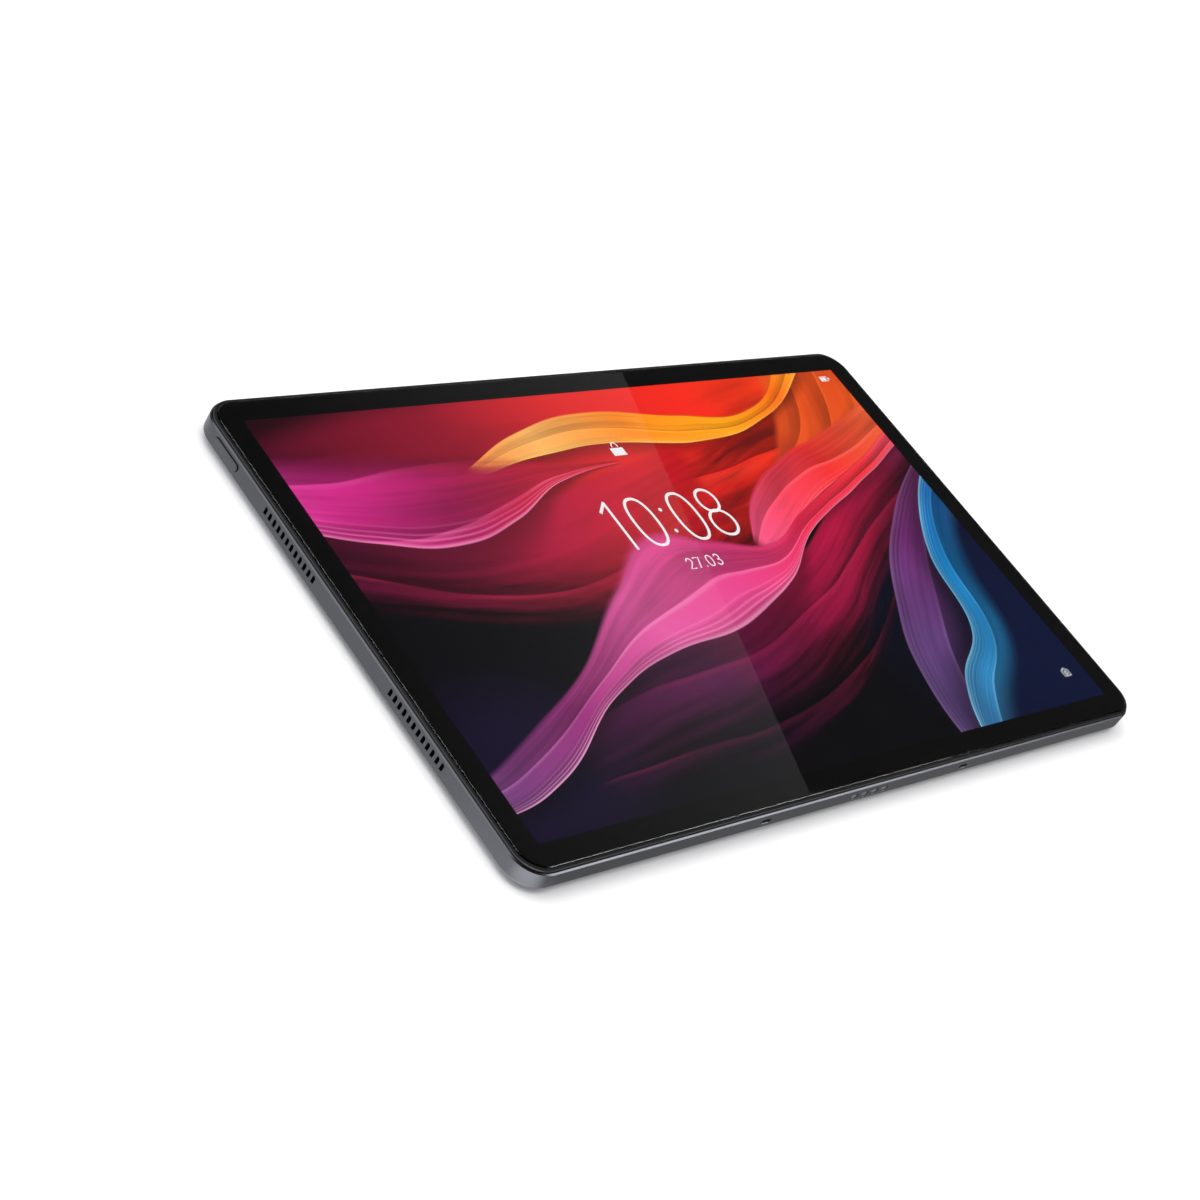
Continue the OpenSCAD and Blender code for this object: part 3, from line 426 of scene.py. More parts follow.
def silkPicture():
    material, graph, place = newFinish("litPicture")
    half = pictureSetup["height"] / 2
    aspect = pictureSetup["width"] / pictureSetup["height"]
    split = graph.node("ShaderNodeSeparateXYZ", None, [place])
    sway = graph.noise(place, 9, 2, 0.5)
    sway2 = graph.noise(graph.scaled(place, 1, 1, 1, (0, 0, 1.1)), 13, 2, 0.5)
    across = split.output("X") * (1 / (half * toMetres)) + (sway - 0.5) * 0.1
    upward = split.output("Y") * (1 / (half * toMetres)) + (sway2 - 0.5) * 0.1
    slow, middling, quick = (graph.scaled(place, k, k, k) for k in pictureSetup["flow"])

    # Noise that changes slowly over the picture and fast across a band
    def flowNoise(spot, across, detail):
        return graph.node("ShaderNodeTexNoise", {"noise_dimensions": "4D"},
                          {"Vector": spot, "W": across, "Scale": 1.0, "Detail": detail, "Roughness": 0.6})

    far, near = pictureSetup["backdrop"]
    glow = 1 - ((across + 0.9) ** 2 + (upward - 0.9) ** 2 * 1.6).ease(0.0, 1.6)
    picture = graph.blend(far, near, glow * 0.8)
    dusk = 1 - ((across - 1.5) ** 2 + (upward + 0.6) ** 2).ease(0.0, 1.1)
    picture = graph.blend(picture, tone(4, 14, 52), dusk * 0.9)
    dusk = 1 - ((across + 1.5) ** 2 + (upward + 0.75) ** 2 * 1.4).ease(0.0, 0.4)
    picture = graph.blend(picture, tone(24, 12, 48), dusk * 0.6)
    for band in silkBands:
        turn = math.radians(band["angle"])
        cosine, sine = math.cos(turn), math.sin(turn)
        def turned(points):
            return [(u * aspect * cosine + v * sine, v * cosine - u * aspect * sine) for u, v in points]
        lower, upper = turned(band["lower"]), turned(band["upper"])
        first = min(p[0] for p in lower + upper)
        length = max(p[0] for p in lower + upper) - first
        along = (across * cosine + upward * sine - first) / length
        height = upward * cosine - across * sine
        def edge(points):
            line = [((p - first) / length, 0.5 + q / 4) for p, q in sorted(points)]
            return (graph.node("ShaderNodeFloatCurve", {"curve": line}, {"Value": along}) - 0.5) * 4
        low = edge(lower)
        reach = (edge(upper) - low).largest(0.004)
        level = (height - low) / reach
        if band.get("hemOn") == "upper":
            level = 1 - level
        drift = flowNoise(slow, level * 0.35 + band["seed"], 1) - 0.5
        threads = flowNoise(middling, (level + drift * 0.3) * band["threads"] + band["seed"], 4)
        step = (level * band["folds"] + along * band["slant"] + drift * 1.1 + 0.02).part()
        gloss = flowNoise(quick, level * 1.5 + band["seed"] * 2, 1).ease(0.32, 0.7)
        light = (0.46 + step ** 1.3 * 0.54) * (0.78 + threads.ease(0.3, 0.72) * 0.34) * (0.74 + gloss * 0.34)
        light = light * band.get("gain", 1.45) * (1 - step.ease(0.975, 1.0) * 0.5) * (1 - level.ease(0.1, 1.05) * band["dark"])
        hue = graph.ramp(along, band["hues"])
        cloth = graph.blend(hue, (0, 0, 0, 1), (1 - light).largest(0).smallest(1))
        crest = step.ease(0.88, 0.965) * (1 - step.ease(0.97, 0.995)) * (0.2 + gloss * 0.8)
        cloth = graph.blend(cloth, band["rim"], crest * 0.3 * (1 - level.ease(0.3, 0.95)))
        ends = along.ease(0.0, 0.05) * (1 - along.ease(0.95, 1.0))
        if "feather" in band:
            ragged = level + (threads - 0.5) * 0.9 + (step - 0.5) * 0.2
            inside = ragged.ease(0.12, band["feather"]) * level.ease(0.0, 0.2)
            inside = inside * (1 - level.ease(1 - band["topFade"], 1.0))
        else:
            lines = (1 - level.size().ease(0.0, band["rimWidth"])) * 0.9
            for offset, strength in ((0.075, 0.5), (0.13, 0.32), (0.2, 0.16)):
                lines = lines + (1 - (level - offset).size().ease(0.0, 0.018)) * strength
            hem = (lines * band["rimPower"] * (0.45 + gloss * 0.55)).smallest(1)
            cloth = graph.blend(cloth, band["rim"], hem)
            inside = level.ease(-0.012, 0.006) * (1 - (level + (threads - 0.5) * band["topFade"] * 0.6).ease(1 - band["topFade"], 1.0))
            inside = inside * level.maths("LESS_THAN", level, 1.0)
            cast = level.ease(-0.6, 0.0) * (1 - level.ease(0.0, 0.05)) * band["shadow"] * ends
            picture = graph.blend(picture, (0, 0, 0, 1), cast)
        picture = graph.blend(picture, cloth, inside * ends)
    graph.end(graph.surface(Base_Color=(0.004, 0.004, 0.005, 1), Roughness=0.3,
                            Emission_Color=picture, Emission_Strength=pictureSetup["strength"]))
    return material


finishColours = {
    "frame": tone(96, 97, 102),
    "panel": tone(112, 113, 118),
    "band": tone(142, 143, 149),
    "island": tone(150, 151, 157),
    "edge": tone(226, 226, 232),
}
finishes = {
    "frame_metal": anodised("satinFrame", finishColours["frame"], 0.33),
    "polished_edge": polished("polishedEdge", finishColours["edge"], 0.12),
    "panel_metal": anodised("satinPanel", finishColours["panel"], 0.36, 2200),
    "band_metal": anodised("satinBand", finishColours["band"], 0.3, 2200),
    "island_metal": anodised("glossIsland", finishColours["island"], 0.16, 3000, 0.04, 0.03),
    "ring_metal": polished("polishedRing", tone(214, 214, 220), 0.08),
    "button_metal": anodised("satinButton", finishColours["frame"], 0.28),
    "break_plastic": moulded("antennaBreak", tone(196, 196, 200), 0.42),
    "ring_plastic": moulded("displayRing", tone(26, 26, 28), 0.34, 2200, 0.00001),
    "glass_cover": clearGlass("coverGlass"),
    "glass_edge": clearGlass("coverGlassEdge", rough=0.2),
    "lens_cover": clearGlass("lensCover", (0.96, 0.97, 1, 1), 1.6),
    "ink_black": printedInk(),
    "adhesive": moulded("adhesive", tone(30, 30, 30), 0.7, 500, 0.00005),
    "lcd": silkPicture(),
    "lit_sign": litSign(),
    "edge_print": moulded("edgePrint", tone(9, 9, 10), 0.3, 2200, 0.000004),
    "clear_plastic": frosted("lightGuide", tone(236, 240, 246), 0.2),
    "steel_sheet": rolled("rolledSteel", tone(196, 197, 200), 0.3),
    "flex": flexFilm(),
    "cast_alloy": castAlloy(),
    "graphite": graphiteSheet(),
    "battery_pouch": batteryPouch(),
    "board": circuitBoard(),
    "screw_steel": rolled("screwSteel", tone(186, 187, 192), 0.26, (9, 9, 2), 2400),
    "black_plastic": moulded("blackPlastic", tone(24, 24, 26), 0.42),
    "lens_black": moulded("lensBlack", tone(14, 14, 18), 0.2, 3000, 0.000004, 1.0),
    "flash_plastic": frosted("flashLens", tone(236, 236, 226), 0.16),
    "flash_chip": frosted("flashPhosphor", tone(236, 208, 84), 0.5),
    "port_steel": rolled("portSteel", tone(176, 177, 182), 0.24, (2, 9, 9), 1800),
    "gold": rolled("goldPlate", tone(226, 182, 92), 0.22, (3, 9, 9), 3000),
    "mesh": wovenMesh(),
    "magnet": polished("nickelPlate", tone(206, 206, 204), 0.2),
    "seal_rubber": moulded("sealRubber", tone(26, 26, 26), 0.72, 900, 0.00004),
}
print("finishes:", len(finishes))

# Every CAD piece takes the finish of its slot
for entry in frame["record"]["subparts"]:
    cadPiece = frame["nodes"][entry["node"]]
    cadPiece.data.materials.clear()
    cadPiece.data.materials.append(finishes[entry["material_slot"]])


# ---- mesh tools

cornerSteps = 28
bodyOf = {n: body for body, names in frame["record"]["behaviour"]["bodies"].items() for n in names}


# Round corners for a section: each point is (inset, height, radius, band)
def softened(points, steps=4, guard=0.05):
    ring = []
    count = len(points)
    for i, (x, y, radius, band) in enumerate(points):
        here = Vector((x, y))
        back = Vector(points[i - 1][:2]) - here
        ahead = Vector(points[(i + 1) % count][:2]) - here
        previousBand = points[i - 1][3]
        if radius <= 0:
            ring.append((x, y, band))
            continue
        angle = back.angle(ahead)
        cut = min(radius / math.tan(angle / 2), back.length * 0.45, ahead.length * 0.45)
        start, finish = here + back.normalized() * cut, here + ahead.normalized() * cut
        if back.length - cut > guard * 3:
            ring.append((*(start + back.normalized() * guard), previousBand))
        curved = previousBand if previousBand == 1 else band
        for step in range(steps + 1):
            t = step / steps
            point = start.lerp(here, t).lerp(here.lerp(finish, t), t)
            ring.append((point.x, point.y, curved if step < steps else band))
        if ahead.length - cut > guard * 3:
            ring.append((*(finish + ahead.normalized() * guard), band))
    return ring


def pathRound(halfW, halfH, radius, steps=cornerSteps):
    path = []
    for corner, (sx, sy) in enumerate([(1, 1), (-1, 1), (-1, -1), (1, -1)]):
        for step in range(steps + 1):
            angle = math.radians(90 * corner + 90 * step / steps)
            path.append((sx * (halfW - radius), sy * (halfH - radius), math.cos(angle), math.sin(angle), radius))
    return path


# Sweeps a closed section along a path of (centre, direction, radius)
def sweepSection(bm, path, section, closed=True):
    rings = []
    for cx, cy, dx, dy, radius in path:
        rings.append([bm.verts.new((cx + dx * (radius - p[0]), cy + dy * (radius - p[0]), p[1])) for p in section])
    spans = len(rings) if closed else len(rings) - 1
    for i in range(spans):
        one, two = rings[i], rings[(i + 1) % len(rings)]
        for j in range(len(section)):
            k = (j + 1) % len(section)
            face = bm.faces.new((one[j], two[j], two[k], one[k]))
            face.material_index = section[j][2]
    if not closed:
        bm.faces.new(rings[0])
        bm.faces.new(rings[-1])


# Stacks rounded outlines: each profile point is (inset, height), from the bottom to the top
def stackRings(bm, halfW, halfH, radius, profile, place=None, steps=16, band=0, guard=0.04):
    before = set(bm.verts)
    first, last = profile[0], profile[-1]
    if guard and first[0] + guard < min(halfW, halfH):
        profile = [(first[0] + guard, first[1])] + list(profile)
    if guard and last[0] + guard < min(halfW, halfH):
        profile = list(profile) + [(last[0] + guard, last[1])]
    rings = []
    for inset, height in profile:
        r = max(radius - inset, 0.0005)
        ring = [bm.verts.new((cx + dx * r, cy + dy * r, height))
                for cx, cy, dx, dy, _ in pathRound(halfW - inset, halfH - inset, r, steps)]
        rings.append(ring)
    for one, two in zip(rings, rings[1:]):
        for i in range(len(one)):
            k = (i + 1) % len(one)
            bm.faces.new((one[i], one[k], two[k], two[i])).material_index = band
    bm.faces.new(list(reversed(rings[0]))).material_index = band
    bm.faces.new(rings[-1]).material_index = band
    made = [v for v in bm.verts if v not in before]
    if place:
        bmesh.ops.transform(bm, matrix=place, verts=made)
    return made


# A frame whose third axis points out of a wall and whose second points up
def wallPlace(outward, at):
    n = Vector(outward)
    a = Vector((0, 0, 1)).cross(n) if abs(n.z) < 0.5 else Vector((n.z, 0, 0))
    b = n.cross(a)
    place = Matrix((a, b, n)).transposed().to_4x4()
    place.translation = Vector(at)
    return place


def meshOf(bm, name, merge=0.0002):
    bmesh.ops.remove_doubles(bm, verts=bm.verts, dist=merge)
    bmesh.ops.dissolve_degenerate(bm, edges=bm.edges, dist=merge / 2)
    bmesh.ops.recalc_face_normals(bm, faces=bm.faces)
    mesh = bpy.data.meshes.new(name)
    bm.to_mesh(mesh)
    bm.free()
    return mesh


def objectOf(mesh, name):
    piece = bpy.data.objects.new(name, mesh)
    scene.collection.objects.link(piece)
    return piece


# Mesh with its modifiers taken in, as plain data
def settled(piece):
    bpy.context.view_layer.update()
    graph = bpy.context.evaluated_depsgraph_get()
    mesh = bpy.data.meshes.new_from_object(piece.evaluated_get(graph))
    piece.modifiers.clear()
    return mesh


def carve(mesh, name, cutter):
    piece, tool = objectOf(mesh, name), objectOf(cutter, name + "Cutter")
    cut = piece.modifiers.new("openings", "BOOLEAN")
    cut.operation, cut.solver, cut.object = "DIFFERENCE", "EXACT", tool
    result = settled(piece)
    bpy.data.objects.remove(piece)
    bpy.data.objects.remove(tool)
    return result


# Scales to metres, shades and hands the piece over to its CAD body
def finishPiece(mesh, name, slots, body="body", stands=(), sharp=32):
    mesh.transform(Matrix.Scale(toMetres, 4))
    mesh.materials.clear()
    for key in slots:
        mesh.materials.append(finishes[key])
    mesh.shade_smooth()
    mesh.set_sharp_from_angle(angle=math.radians(sharp))
    piece = objectOf(mesh, name)
    mesh.name = name
    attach(piece, body)
    if stands:
        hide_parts(*stands)
    return piece


# Merged copy of CAD solids with softly rounded edges
def refined(names, name, slots, width=0.06, steps=2, limit=40, extra=None):
    bm = bmesh.new()
    for node in names:
        bm.from_mesh(frame["nodes"][node].data)
    bmesh.ops.scale(bm, vec=(1 / toMetres,) * 3, verts=bm.verts)
    bmesh.ops.remove_doubles(bm, verts=bm.verts, dist=0.0005)
    bmesh.ops.dissolve_limit(bm, angle_limit=math.radians(0.6), verts=bm.verts, edges=bm.edges)
    piece = objectOf(meshOf(bm, name), name)
    soft = piece.modifiers.new("softEdges", "BEVEL")
    soft.width, soft.segments, soft.limit_method = width, steps, "ANGLE"
    soft.angle_limit, soft.harden_normals, soft.use_clamp_overlap = math.radians(limit), False, True
    mesh = settled(piece)
    bpy.data.objects.remove(piece)
    return finishPiece(mesh, name, slots, bodyOf[names[0]], names)


# ---- Geometry Nodes: a straight row of one piece

def rowTree():
    tree = bpy.data.node_groups.new("rowOfPieces", "GeometryNodeTree")
    sockets = {}
    for label, kind in [("Geometry", "NodeSocketGeometry"), ("Count", "NodeSocketInt"),
                        ("First", "NodeSocketVector"), ("Step", "NodeSocketVector"),
                        ("Finish", "NodeSocketMaterial")]:
        sockets[label] = tree.interface.new_socket(label, in_out="INPUT", socket_type=kind).identifier
    tree.interface.new_socket("Geometry", in_out="OUTPUT", socket_type="NodeSocketGeometry")
    start, finish = tree.nodes.new("NodeGroupInput"), tree.nodes.new("NodeGroupOutput")
    line = tree.nodes.new("GeometryNodeMeshLine")
    line.mode = "OFFSET"
    copies = tree.nodes.new("GeometryNodeInstanceOnPoints")
    real = tree.nodes.new("GeometryNodeRealizeInstances")
    paint = tree.nodes.new("GeometryNodeSetMaterial")
    join = tree.links.new
    join(start.outputs["Count"], line.inputs["Count"])
    join(start.outputs["First"], line.inputs["Start Location"])
    join(start.outputs["Step"], line.inputs["Offset"])
    join(line.outputs["Mesh"], copies.inputs["Points"])
    join(start.outputs["Geometry"], copies.inputs["Instance"])
    join(copies.outputs["Instances"], real.inputs["Geometry"])
    join(real.outputs["Geometry"], paint.inputs["Geometry"])
    join(start.outputs["Finish"], paint.inputs["Material"])
    join(paint.outputs["Geometry"], finish.inputs["Geometry"])
    return tree, sockets


rowGroup, rowSockets = rowTree()


def rowOf(unit, count, first, step, finish):
    piece = objectOf(unit.copy(), "rowUnit")
    row = piece.modifiers.new("row", "NODES")
    row.node_group = rowGroup
    for label, value in [("Count", count), ("First", first), ("Step", step), ("Finish", finish)]:
        row[rowSockets[label]] = value
    mesh = settled(piece)
    bpy.data.objects.remove(piece)
    return mesh


def addMesh(bm, mesh):
    bm.from_mesh(mesh)
    bpy.data.meshes.remove(mesh)


print("mesh tools ready")


# ---- metal body

bodyLow, bodyHigh = boxMm("side_frame")
halfW, halfH = bodyHigh.x, -bodyLow.y
backZ, rimZ = bodyLow.z, bodyHigh.z
frameSetup = {
    "radius": 9.0,
    "backChamfer": 0.8,
    "frontChamfer": 0.4,
    "wall": 2.0,
    "edgeSoft": 0.12,
    "grilleSlots": 12,
    "grillePitch": 2.17,
    "slotWidth": 1.1,
    "slotHeight": 2.2,
    "slotRim": 0.13,
}
radius, wall = frameSetup["radius"], frameSetup["wall"]
chamfer, rearCut = frameSetup["frontChamfer"], frameSetup["backChamfer"]
soft = frameSetup["edgeSoft"]
wallSection = softened([
    (0, backZ + rearCut, soft * 2.2, 0), (0, rimZ - chamfer, 0.035, 1), (chamfer, rimZ, 0.03, 0),
    (0.55, rimZ, 0, 0), (0.55, backZ + 4.9, 0, 0), (wall, backZ + 4.9, 0, 0), (wall, backZ + 1.3, 0, 0),
    (3.2, backZ + 1.3, 0, 0), (3.2, backZ + 0.7, 0, 0), (1.3, backZ + 0.7, 0, 0),
    (1.3, backZ, 0.04, 0), (rearCut, backZ, 0.1, 1),
])
breakLow, breakHigh = boxMm("antenna_breaks")
railLow, railHigh = boxMm("antenna_rail")
breakOut, breakIn = breakHigh.x, railHigh.x
upper = (halfH - radius, 0.0, 1.0, radius)
fullPath = pathRound(halfW, halfH, radius)
corner = cornerSteps + 1
framePath = [(-breakOut, *upper)] + fullPath[corner:] + fullPath[:corner] + [(breakOut, *upper)]

bm = bmesh.new()
sweepSection(bm, framePath, wallSection, closed=False)
frameMesh = meshOf(bm, "sideFrame")


def openingShape(bm, outward, at, width, height, depth, rim=0.1, steps=10):
    half = height / 2
    stackRings(bm, width / 2, half, half * 0.999, [(0, -depth), (0, -rim), (-rim - 0.03, 0.03), (-rim - 0.03, 0.4)],
               wallPlace(outward, at), steps, guard=0)


# One slot, repeated into four grilles
unitOf = {}
for side in (-1, 1):
    bm = bmesh.new()
    tall = frameSetup["slotHeight"] / 2
    slim = frameSetup["slotWidth"] / 2
    rim = frameSetup["slotRim"]
    stackRings(bm, slim, tall, slim * 0.999, [(0, -2.6), (0, -rim), (-rim - 0.03, 0.03), (-rim - 0.03, 0.4)],
               wallPlace((side, 0, 0), (0, 0, 0)), 7, guard=0)
    unitOf[side] = meshOf(bm, "grilleSlot")

meshLow, meshHigh = boxMm("speaker_meshes")
grilleZ = centreMm("power_button").z
speakerY = {-1: centreMm("speaker_left_front").y, 1: centreMm("speaker_left_back").y}
bm = bmesh.new()
slots, pitch = frameSetup["grilleSlots"], frameSetup["grillePitch"]
for side in (-1, 1):
    for sy in (-1, 1):
        firstY = speakerY[sy] - (slots - 1) / 2 * pitch
        addMesh(bm, rowOf(unitOf[side], slots, (side * halfW, firstY, grilleZ), (0, pitch, 0), finishes["frame_metal"]))
print("grille slots:", slots * 4)

powerLow, powerHigh = boxMm("power_button")
powerAt = (powerLow + powerHigh) / 2
powerLen = powerHigh.y - powerLow.y - 0.7
openingShape(bm, (-1, 0, 0), (-halfW, powerAt.y, grilleZ), powerLen + 0.24, 2.24, 2.6)
usbLow, usbHigh = boxMm("usb_shell")
usbAt = (usbLow + usbHigh) / 2
usbW, usbH = usbHigh.y - usbLow.y, usbHigh.z - usbLow.z
openingShape(bm, (1, 0, 0), (halfW, usbAt.y, usbAt.z), usbW + 0.1, usbH + 0.1, 2.6, 0.18, 16)
volLow, volHigh = boxMm("volume_rocker")
volumeAt = (volLow + volHigh) / 2
volumeLen = volHigh.x - volLow.x - 0.7
openingShape(bm, (0, 1, 0), (volumeAt.x, halfH, grilleZ), volumeLen + 0.24, 2.24, 2.6)
trayLow, trayHigh = boxMm("card_tray")
trayAt = (trayLow + trayHigh) / 2
openingShape(bm, (0, 1, 0), (trayAt.x, halfH, trayAt.z), trayHigh.x - trayLow.x + 0.1, 2.1, 2.6, 0.05)
dockLow, dockHigh = boxMm("dock_contacts")
dockZ = (dockLow.z + dockHigh.z) / 2
dockPitch = (dockHigh.x - dockLow.x - 2.4) / 3
for i in range(4):
    openingShape(bm, (0, -1, 0), (dockLow.x + 1.2 + i * dockPitch, -halfH, dockZ), 3.1, 2.2, 2.6, 0.06, 12)
linerLow, linerHigh = boxMm("dock_liners")
linerX = linerHigh.x - 1.75
for side in (-1, 1):
    openingShape(bm, (0, -1, 0), (side * linerX, -halfH, dockZ), 3.6, 1.5, 1.6, 0.12, 12)
cutter = meshOf(bm, "frameOpenings", 0.00005)
frameMesh = carve(frameMesh, "sideFrame", cutter)
sideFrame = finishPiece(frameMesh, "sideFrame", ["frame_metal", "polished_edge"], "body", ["side_frame"])

# Antenna rail with its two microphone holes, and the breaks beside it
bm = bmesh.new()
sweepSection(bm, [(-breakIn, *upper), (breakIn, *upper)], wallSection, closed=False)
railMesh = meshOf(bm, "antennaRail")
micLow, micHigh = boxMm("microphones")
bm = bmesh.new()
for side in (-1, 1):
    openingShape(bm, (0, 1, 0), (side * (micHigh.x - 1.8), halfH, grilleZ), 0.8, 0.8, 2.6, 0.08, 6)
railMesh = carve(railMesh, "antennaRail", meshOf(bm, "railHoles", 0.00005))
antennaRail = finishPiece(railMesh, "antennaRail", ["frame_metal", "polished_edge"], "body", ["antenna_rail"])
bm = bmesh.new()
flush = [(max(p[0], 0.02), p[1], 0) for p in wallSection]
for side in (-1, 1):
    sweepSection(bm, [(side * (breakIn + 0.02), *upper), (side * (breakOut - 0.02), *upper)], flush, closed=False)
antennaBreaks = finishPiece(meshOf(bm, "antennaBreaks"), "antennaBreaks", ["break_plastic"], "body", ["antenna_breaks"])
print("metal body: done")


# ---- display

glassLow, glassHigh = boxMm("cover_glass")
inkLow, inkHigh = boxMm("border_ink")
lcdLow, lcdHigh = boxMm("lcd_cell")
displaySetup = {"glassRadius": 7.5, "edgeRound": 0.6, "edgeSteps": 9, "ringInset": 0.6, "ringSoft": 0.22}
topZ = glassHigh.z
glassHalfW, glassHalfH = glassHigh.x, glassHigh.y
ringLow, ringHigh = boxMm("display_ring")
ringTop = ringHigh.z

ringSection = softened([
    (displaySetup["ringInset"], rimZ - 0.9, 0, 0), (displaySetup["ringInset"], ringTop, displaySetup["ringSoft"], 0),
    (1.45, ringTop, 0.06, 0), (1.45, inkLow.z - 0.06, 0, 0), (2.3, inkLow.z - 0.06, 0, 0), (2.3, rimZ - 0.9, 0, 0),
])
bm = bmesh.new()
sweepSection(bm, fullPath, ringSection)
displayRing = finishPiece(meshOf(bm, "displayRing"), "displayRing", ["ring_plastic"], "body", ["display_ring"])

edge, steps = displaySetup["edgeRound"], displaySetup["edgeSteps"]
profile = [(1.3, glassLow.z + 0.006), (0, glassLow.z + 0.006), (0, glassLow.z + 0.1)]
for i in range(steps + 1):
    angle = math.pi / 2 * i / steps
    profile.append((edge * (1 - math.cos(angle)), topZ - edge * (1 - math.sin(angle)) * 0.98))
bm = bmesh.new()
stackRings(bm, glassHalfW, glassHalfH, displaySetup["glassRadius"], profile, None, cornerSteps, guard=0.25)
glassMesh = meshOf(bm, "coverGlass")
for face in glassMesh.polygons:
    sideways = abs(face.normal.z) < 0.3
    underside = face.normal.z < -0.5 and len(face.vertices) < 5
    face.material_index = 1 if sideways or underside else 2 if 0 < face.normal.z < 0.985 else 0
coverGlass = finishPiece(glassMesh, "coverGlass", ["glass_cover", "edge_print", "glass_edge"], "body", ["cover_glass"], 40)

# The lit picture: a thin closed sheet on the LCD cell
bm = bmesh.new()
stackRings(bm, pictureSetup["width"] / 2 + 0.2, pictureSetup["height"] / 2 + 0.2, 0.3,
           [(0, lcdHigh.z + 0.006), (0, lcdHigh.z + 0.024)], None, 3, guard=0)
litPicture = finishPiece(meshOf(bm, "litPicture"), "litPicture", ["lcd"], "body")

signSetup = {"digitHeight": 18.0, "digitWidth": 10.3, "stroke": 1.0, "clockAt": (0.5, 19.6), "dateHeight": 3.9,
             "dateAt": (0.5, 2.6), "lift": 0.03}
signZ = lcdHigh.z + signSetup["lift"]


# Flat band along a line of points, as a thin closed body
def strokeBand(bm, points, width, closed=False):
    points = [Vector(p) for p in points]
    count = len(points)
    rails = []
    for i, here in enumerate(points):
        behind = points[i - 1] if closed or i else here
        ahead = points[(i + 1) % count] if closed or i < count - 1 else here
        side = (ahead - behind).normalized()
        side = Vector((-side.y, side.x)) * width / 2
        rails.append((here + side, here - side))
    if not closed:
        first, last = (points[0] - points[1]).normalized(), (points[-1] - points[-2]).normalized()
        rails[0] = (rails[0][0] + first * width * 0.3, rails[0][1] + first * width * 0.3)
        rails[-1] = (rails[-1][0] + last * width * 0.3, rails[-1][1] + last * width * 0.3)
    rings = []
    for one, two in rails:
        rings.append([bm.verts.new((p.x, p.y, z)) for p, z in
                      [(one, signZ), (two, signZ), (two, signZ + 0.012), (one, signZ + 0.012)]])
    for i in range(count if closed else count - 1):
        here, ahead = rings[i], rings[(i + 1) % count]
        for j in range(4):
            bm.faces.new((here[j], ahead[j], ahead[(j + 1) % 4], here[(j + 1) % 4]))
    if not closed:
        bm.faces.new(rings[0])
        bm.faces.new(rings[-1])


def oval(cx, cy, rx, ry, start=0, sweep=360, count=40, power=2.4):
    points = []
    for i in range(count if sweep == 360 else count + 1):
        a = math.radians(start + sweep * i / count)
        c, s = math.cos(a), math.sin(a)
        points.append((cx + rx * math.copysign(abs(c) ** (2 / power), c),
                       cy + ry * math.copysign(abs(s) ** (2 / power), s)))
    return points


# Digits are drawn in a box from (0, 0) to (1, 1)
def digitLines(digit):
    if digit == "0":
        return [(oval(0.5, 0.5, 0.44, 0.5), True)]
    if digit == "1":
        return [([(0.28, 0.8), (0.62, 0.99)], False), ([(0.62, 0.97), (0.62, 0.0)], False)]
    if digit == "2":
        return [(oval(0.5, 0.7, 0.4, 0.3, 165, -190, 20, 2) + [(0.12, 0.02), (0.95, 0.02)], False)]
    if digit == "3":
        return [(oval(0.5, 0.75, 0.36, 0.25, 150, -240, 20, 2), False), (oval(0.5, 0.26, 0.42, 0.26, 90, -250, 20, 2), False)]
    if digit == "7":
        return [([(0.05, 0.98), (0.93, 0.98), (0.35, 0.0)], False)]
    if digit == "8":
        return [(oval(0.5, 0.76, 0.37, 0.24, 0, 360, 32, 2.1), True), (oval(0.5, 0.27, 0.44, 0.27, 0, 360, 32, 2.1), True)]
    return [([(0.5, 0.02), (0.5, 0.06)], False)]


def drawNumber(bm, text, at, height, width, stroke, gap):
    advance = []
    for sign in text:
        advance.append(width * (0.32 if sign in ":." else 0.72 if sign == "1" else 1))
    total = sum(advance) + gap * (len(text) - 1)
    x = at[0] - total / 2
    for sign, step in zip(text, advance):
        if sign == ":":
            for y in (0.24, 0.7):
                strokeBand(bm, oval(x + step / 2, at[1] + (y - 0.5) * height, stroke * 0.34, stroke * 0.34, 0, 360, 14, 2),
                           stroke * 0.68, True)
        else:
            boxW = width if sign != "." else step
            shift = width * 0.24 if sign == "1" else 0
            for line, closed in digitLines(sign):
                strokeBand(bm, [(x + px * boxW - shift, at[1] + (py - 0.5) * height) for px, py in line], stroke, closed)
        x += step + gap


bm = bmesh.new()
drawNumber(bm, "10:08", signSetup["clockAt"], signSetup["digitHeight"], signSetup["digitWidth"], signSetup["stroke"], 1.9)
drawNumber(bm, "27.03", signSetup["dateAt"], signSetup["dateHeight"], 2.5, 0.42, 0.8)
# Padlock
lockX, lockY = 0.5, 47.5
strokeBand(bm, [(lockX - 1.7, lockY - 0.9), (lockX + 1.7, lockY - 0.9)], 3.0)
strokeBand(bm, oval(lockX, lockY + 1.1, 1.15, 1.6, 0, 180, 14, 2), 0.42)
# Battery sign
cellX, cellY = 113.6, 67.6
strokeBand(bm, [(cellX - 1.9, cellY - 0.95), (cellX + 1.6, cellY - 0.95), (cellX + 1.6, cellY + 0.95), (cellX - 1.9, cellY + 0.95)], 0.3, True)
strokeBand(bm, [(cellX - 1.5, cellY), (cellX + 0.5, cellY)], 1.3)
strokeBand(bm, [(cellX + 2.0, cellY), (cellX + 2.2, cellY)], 0.8)
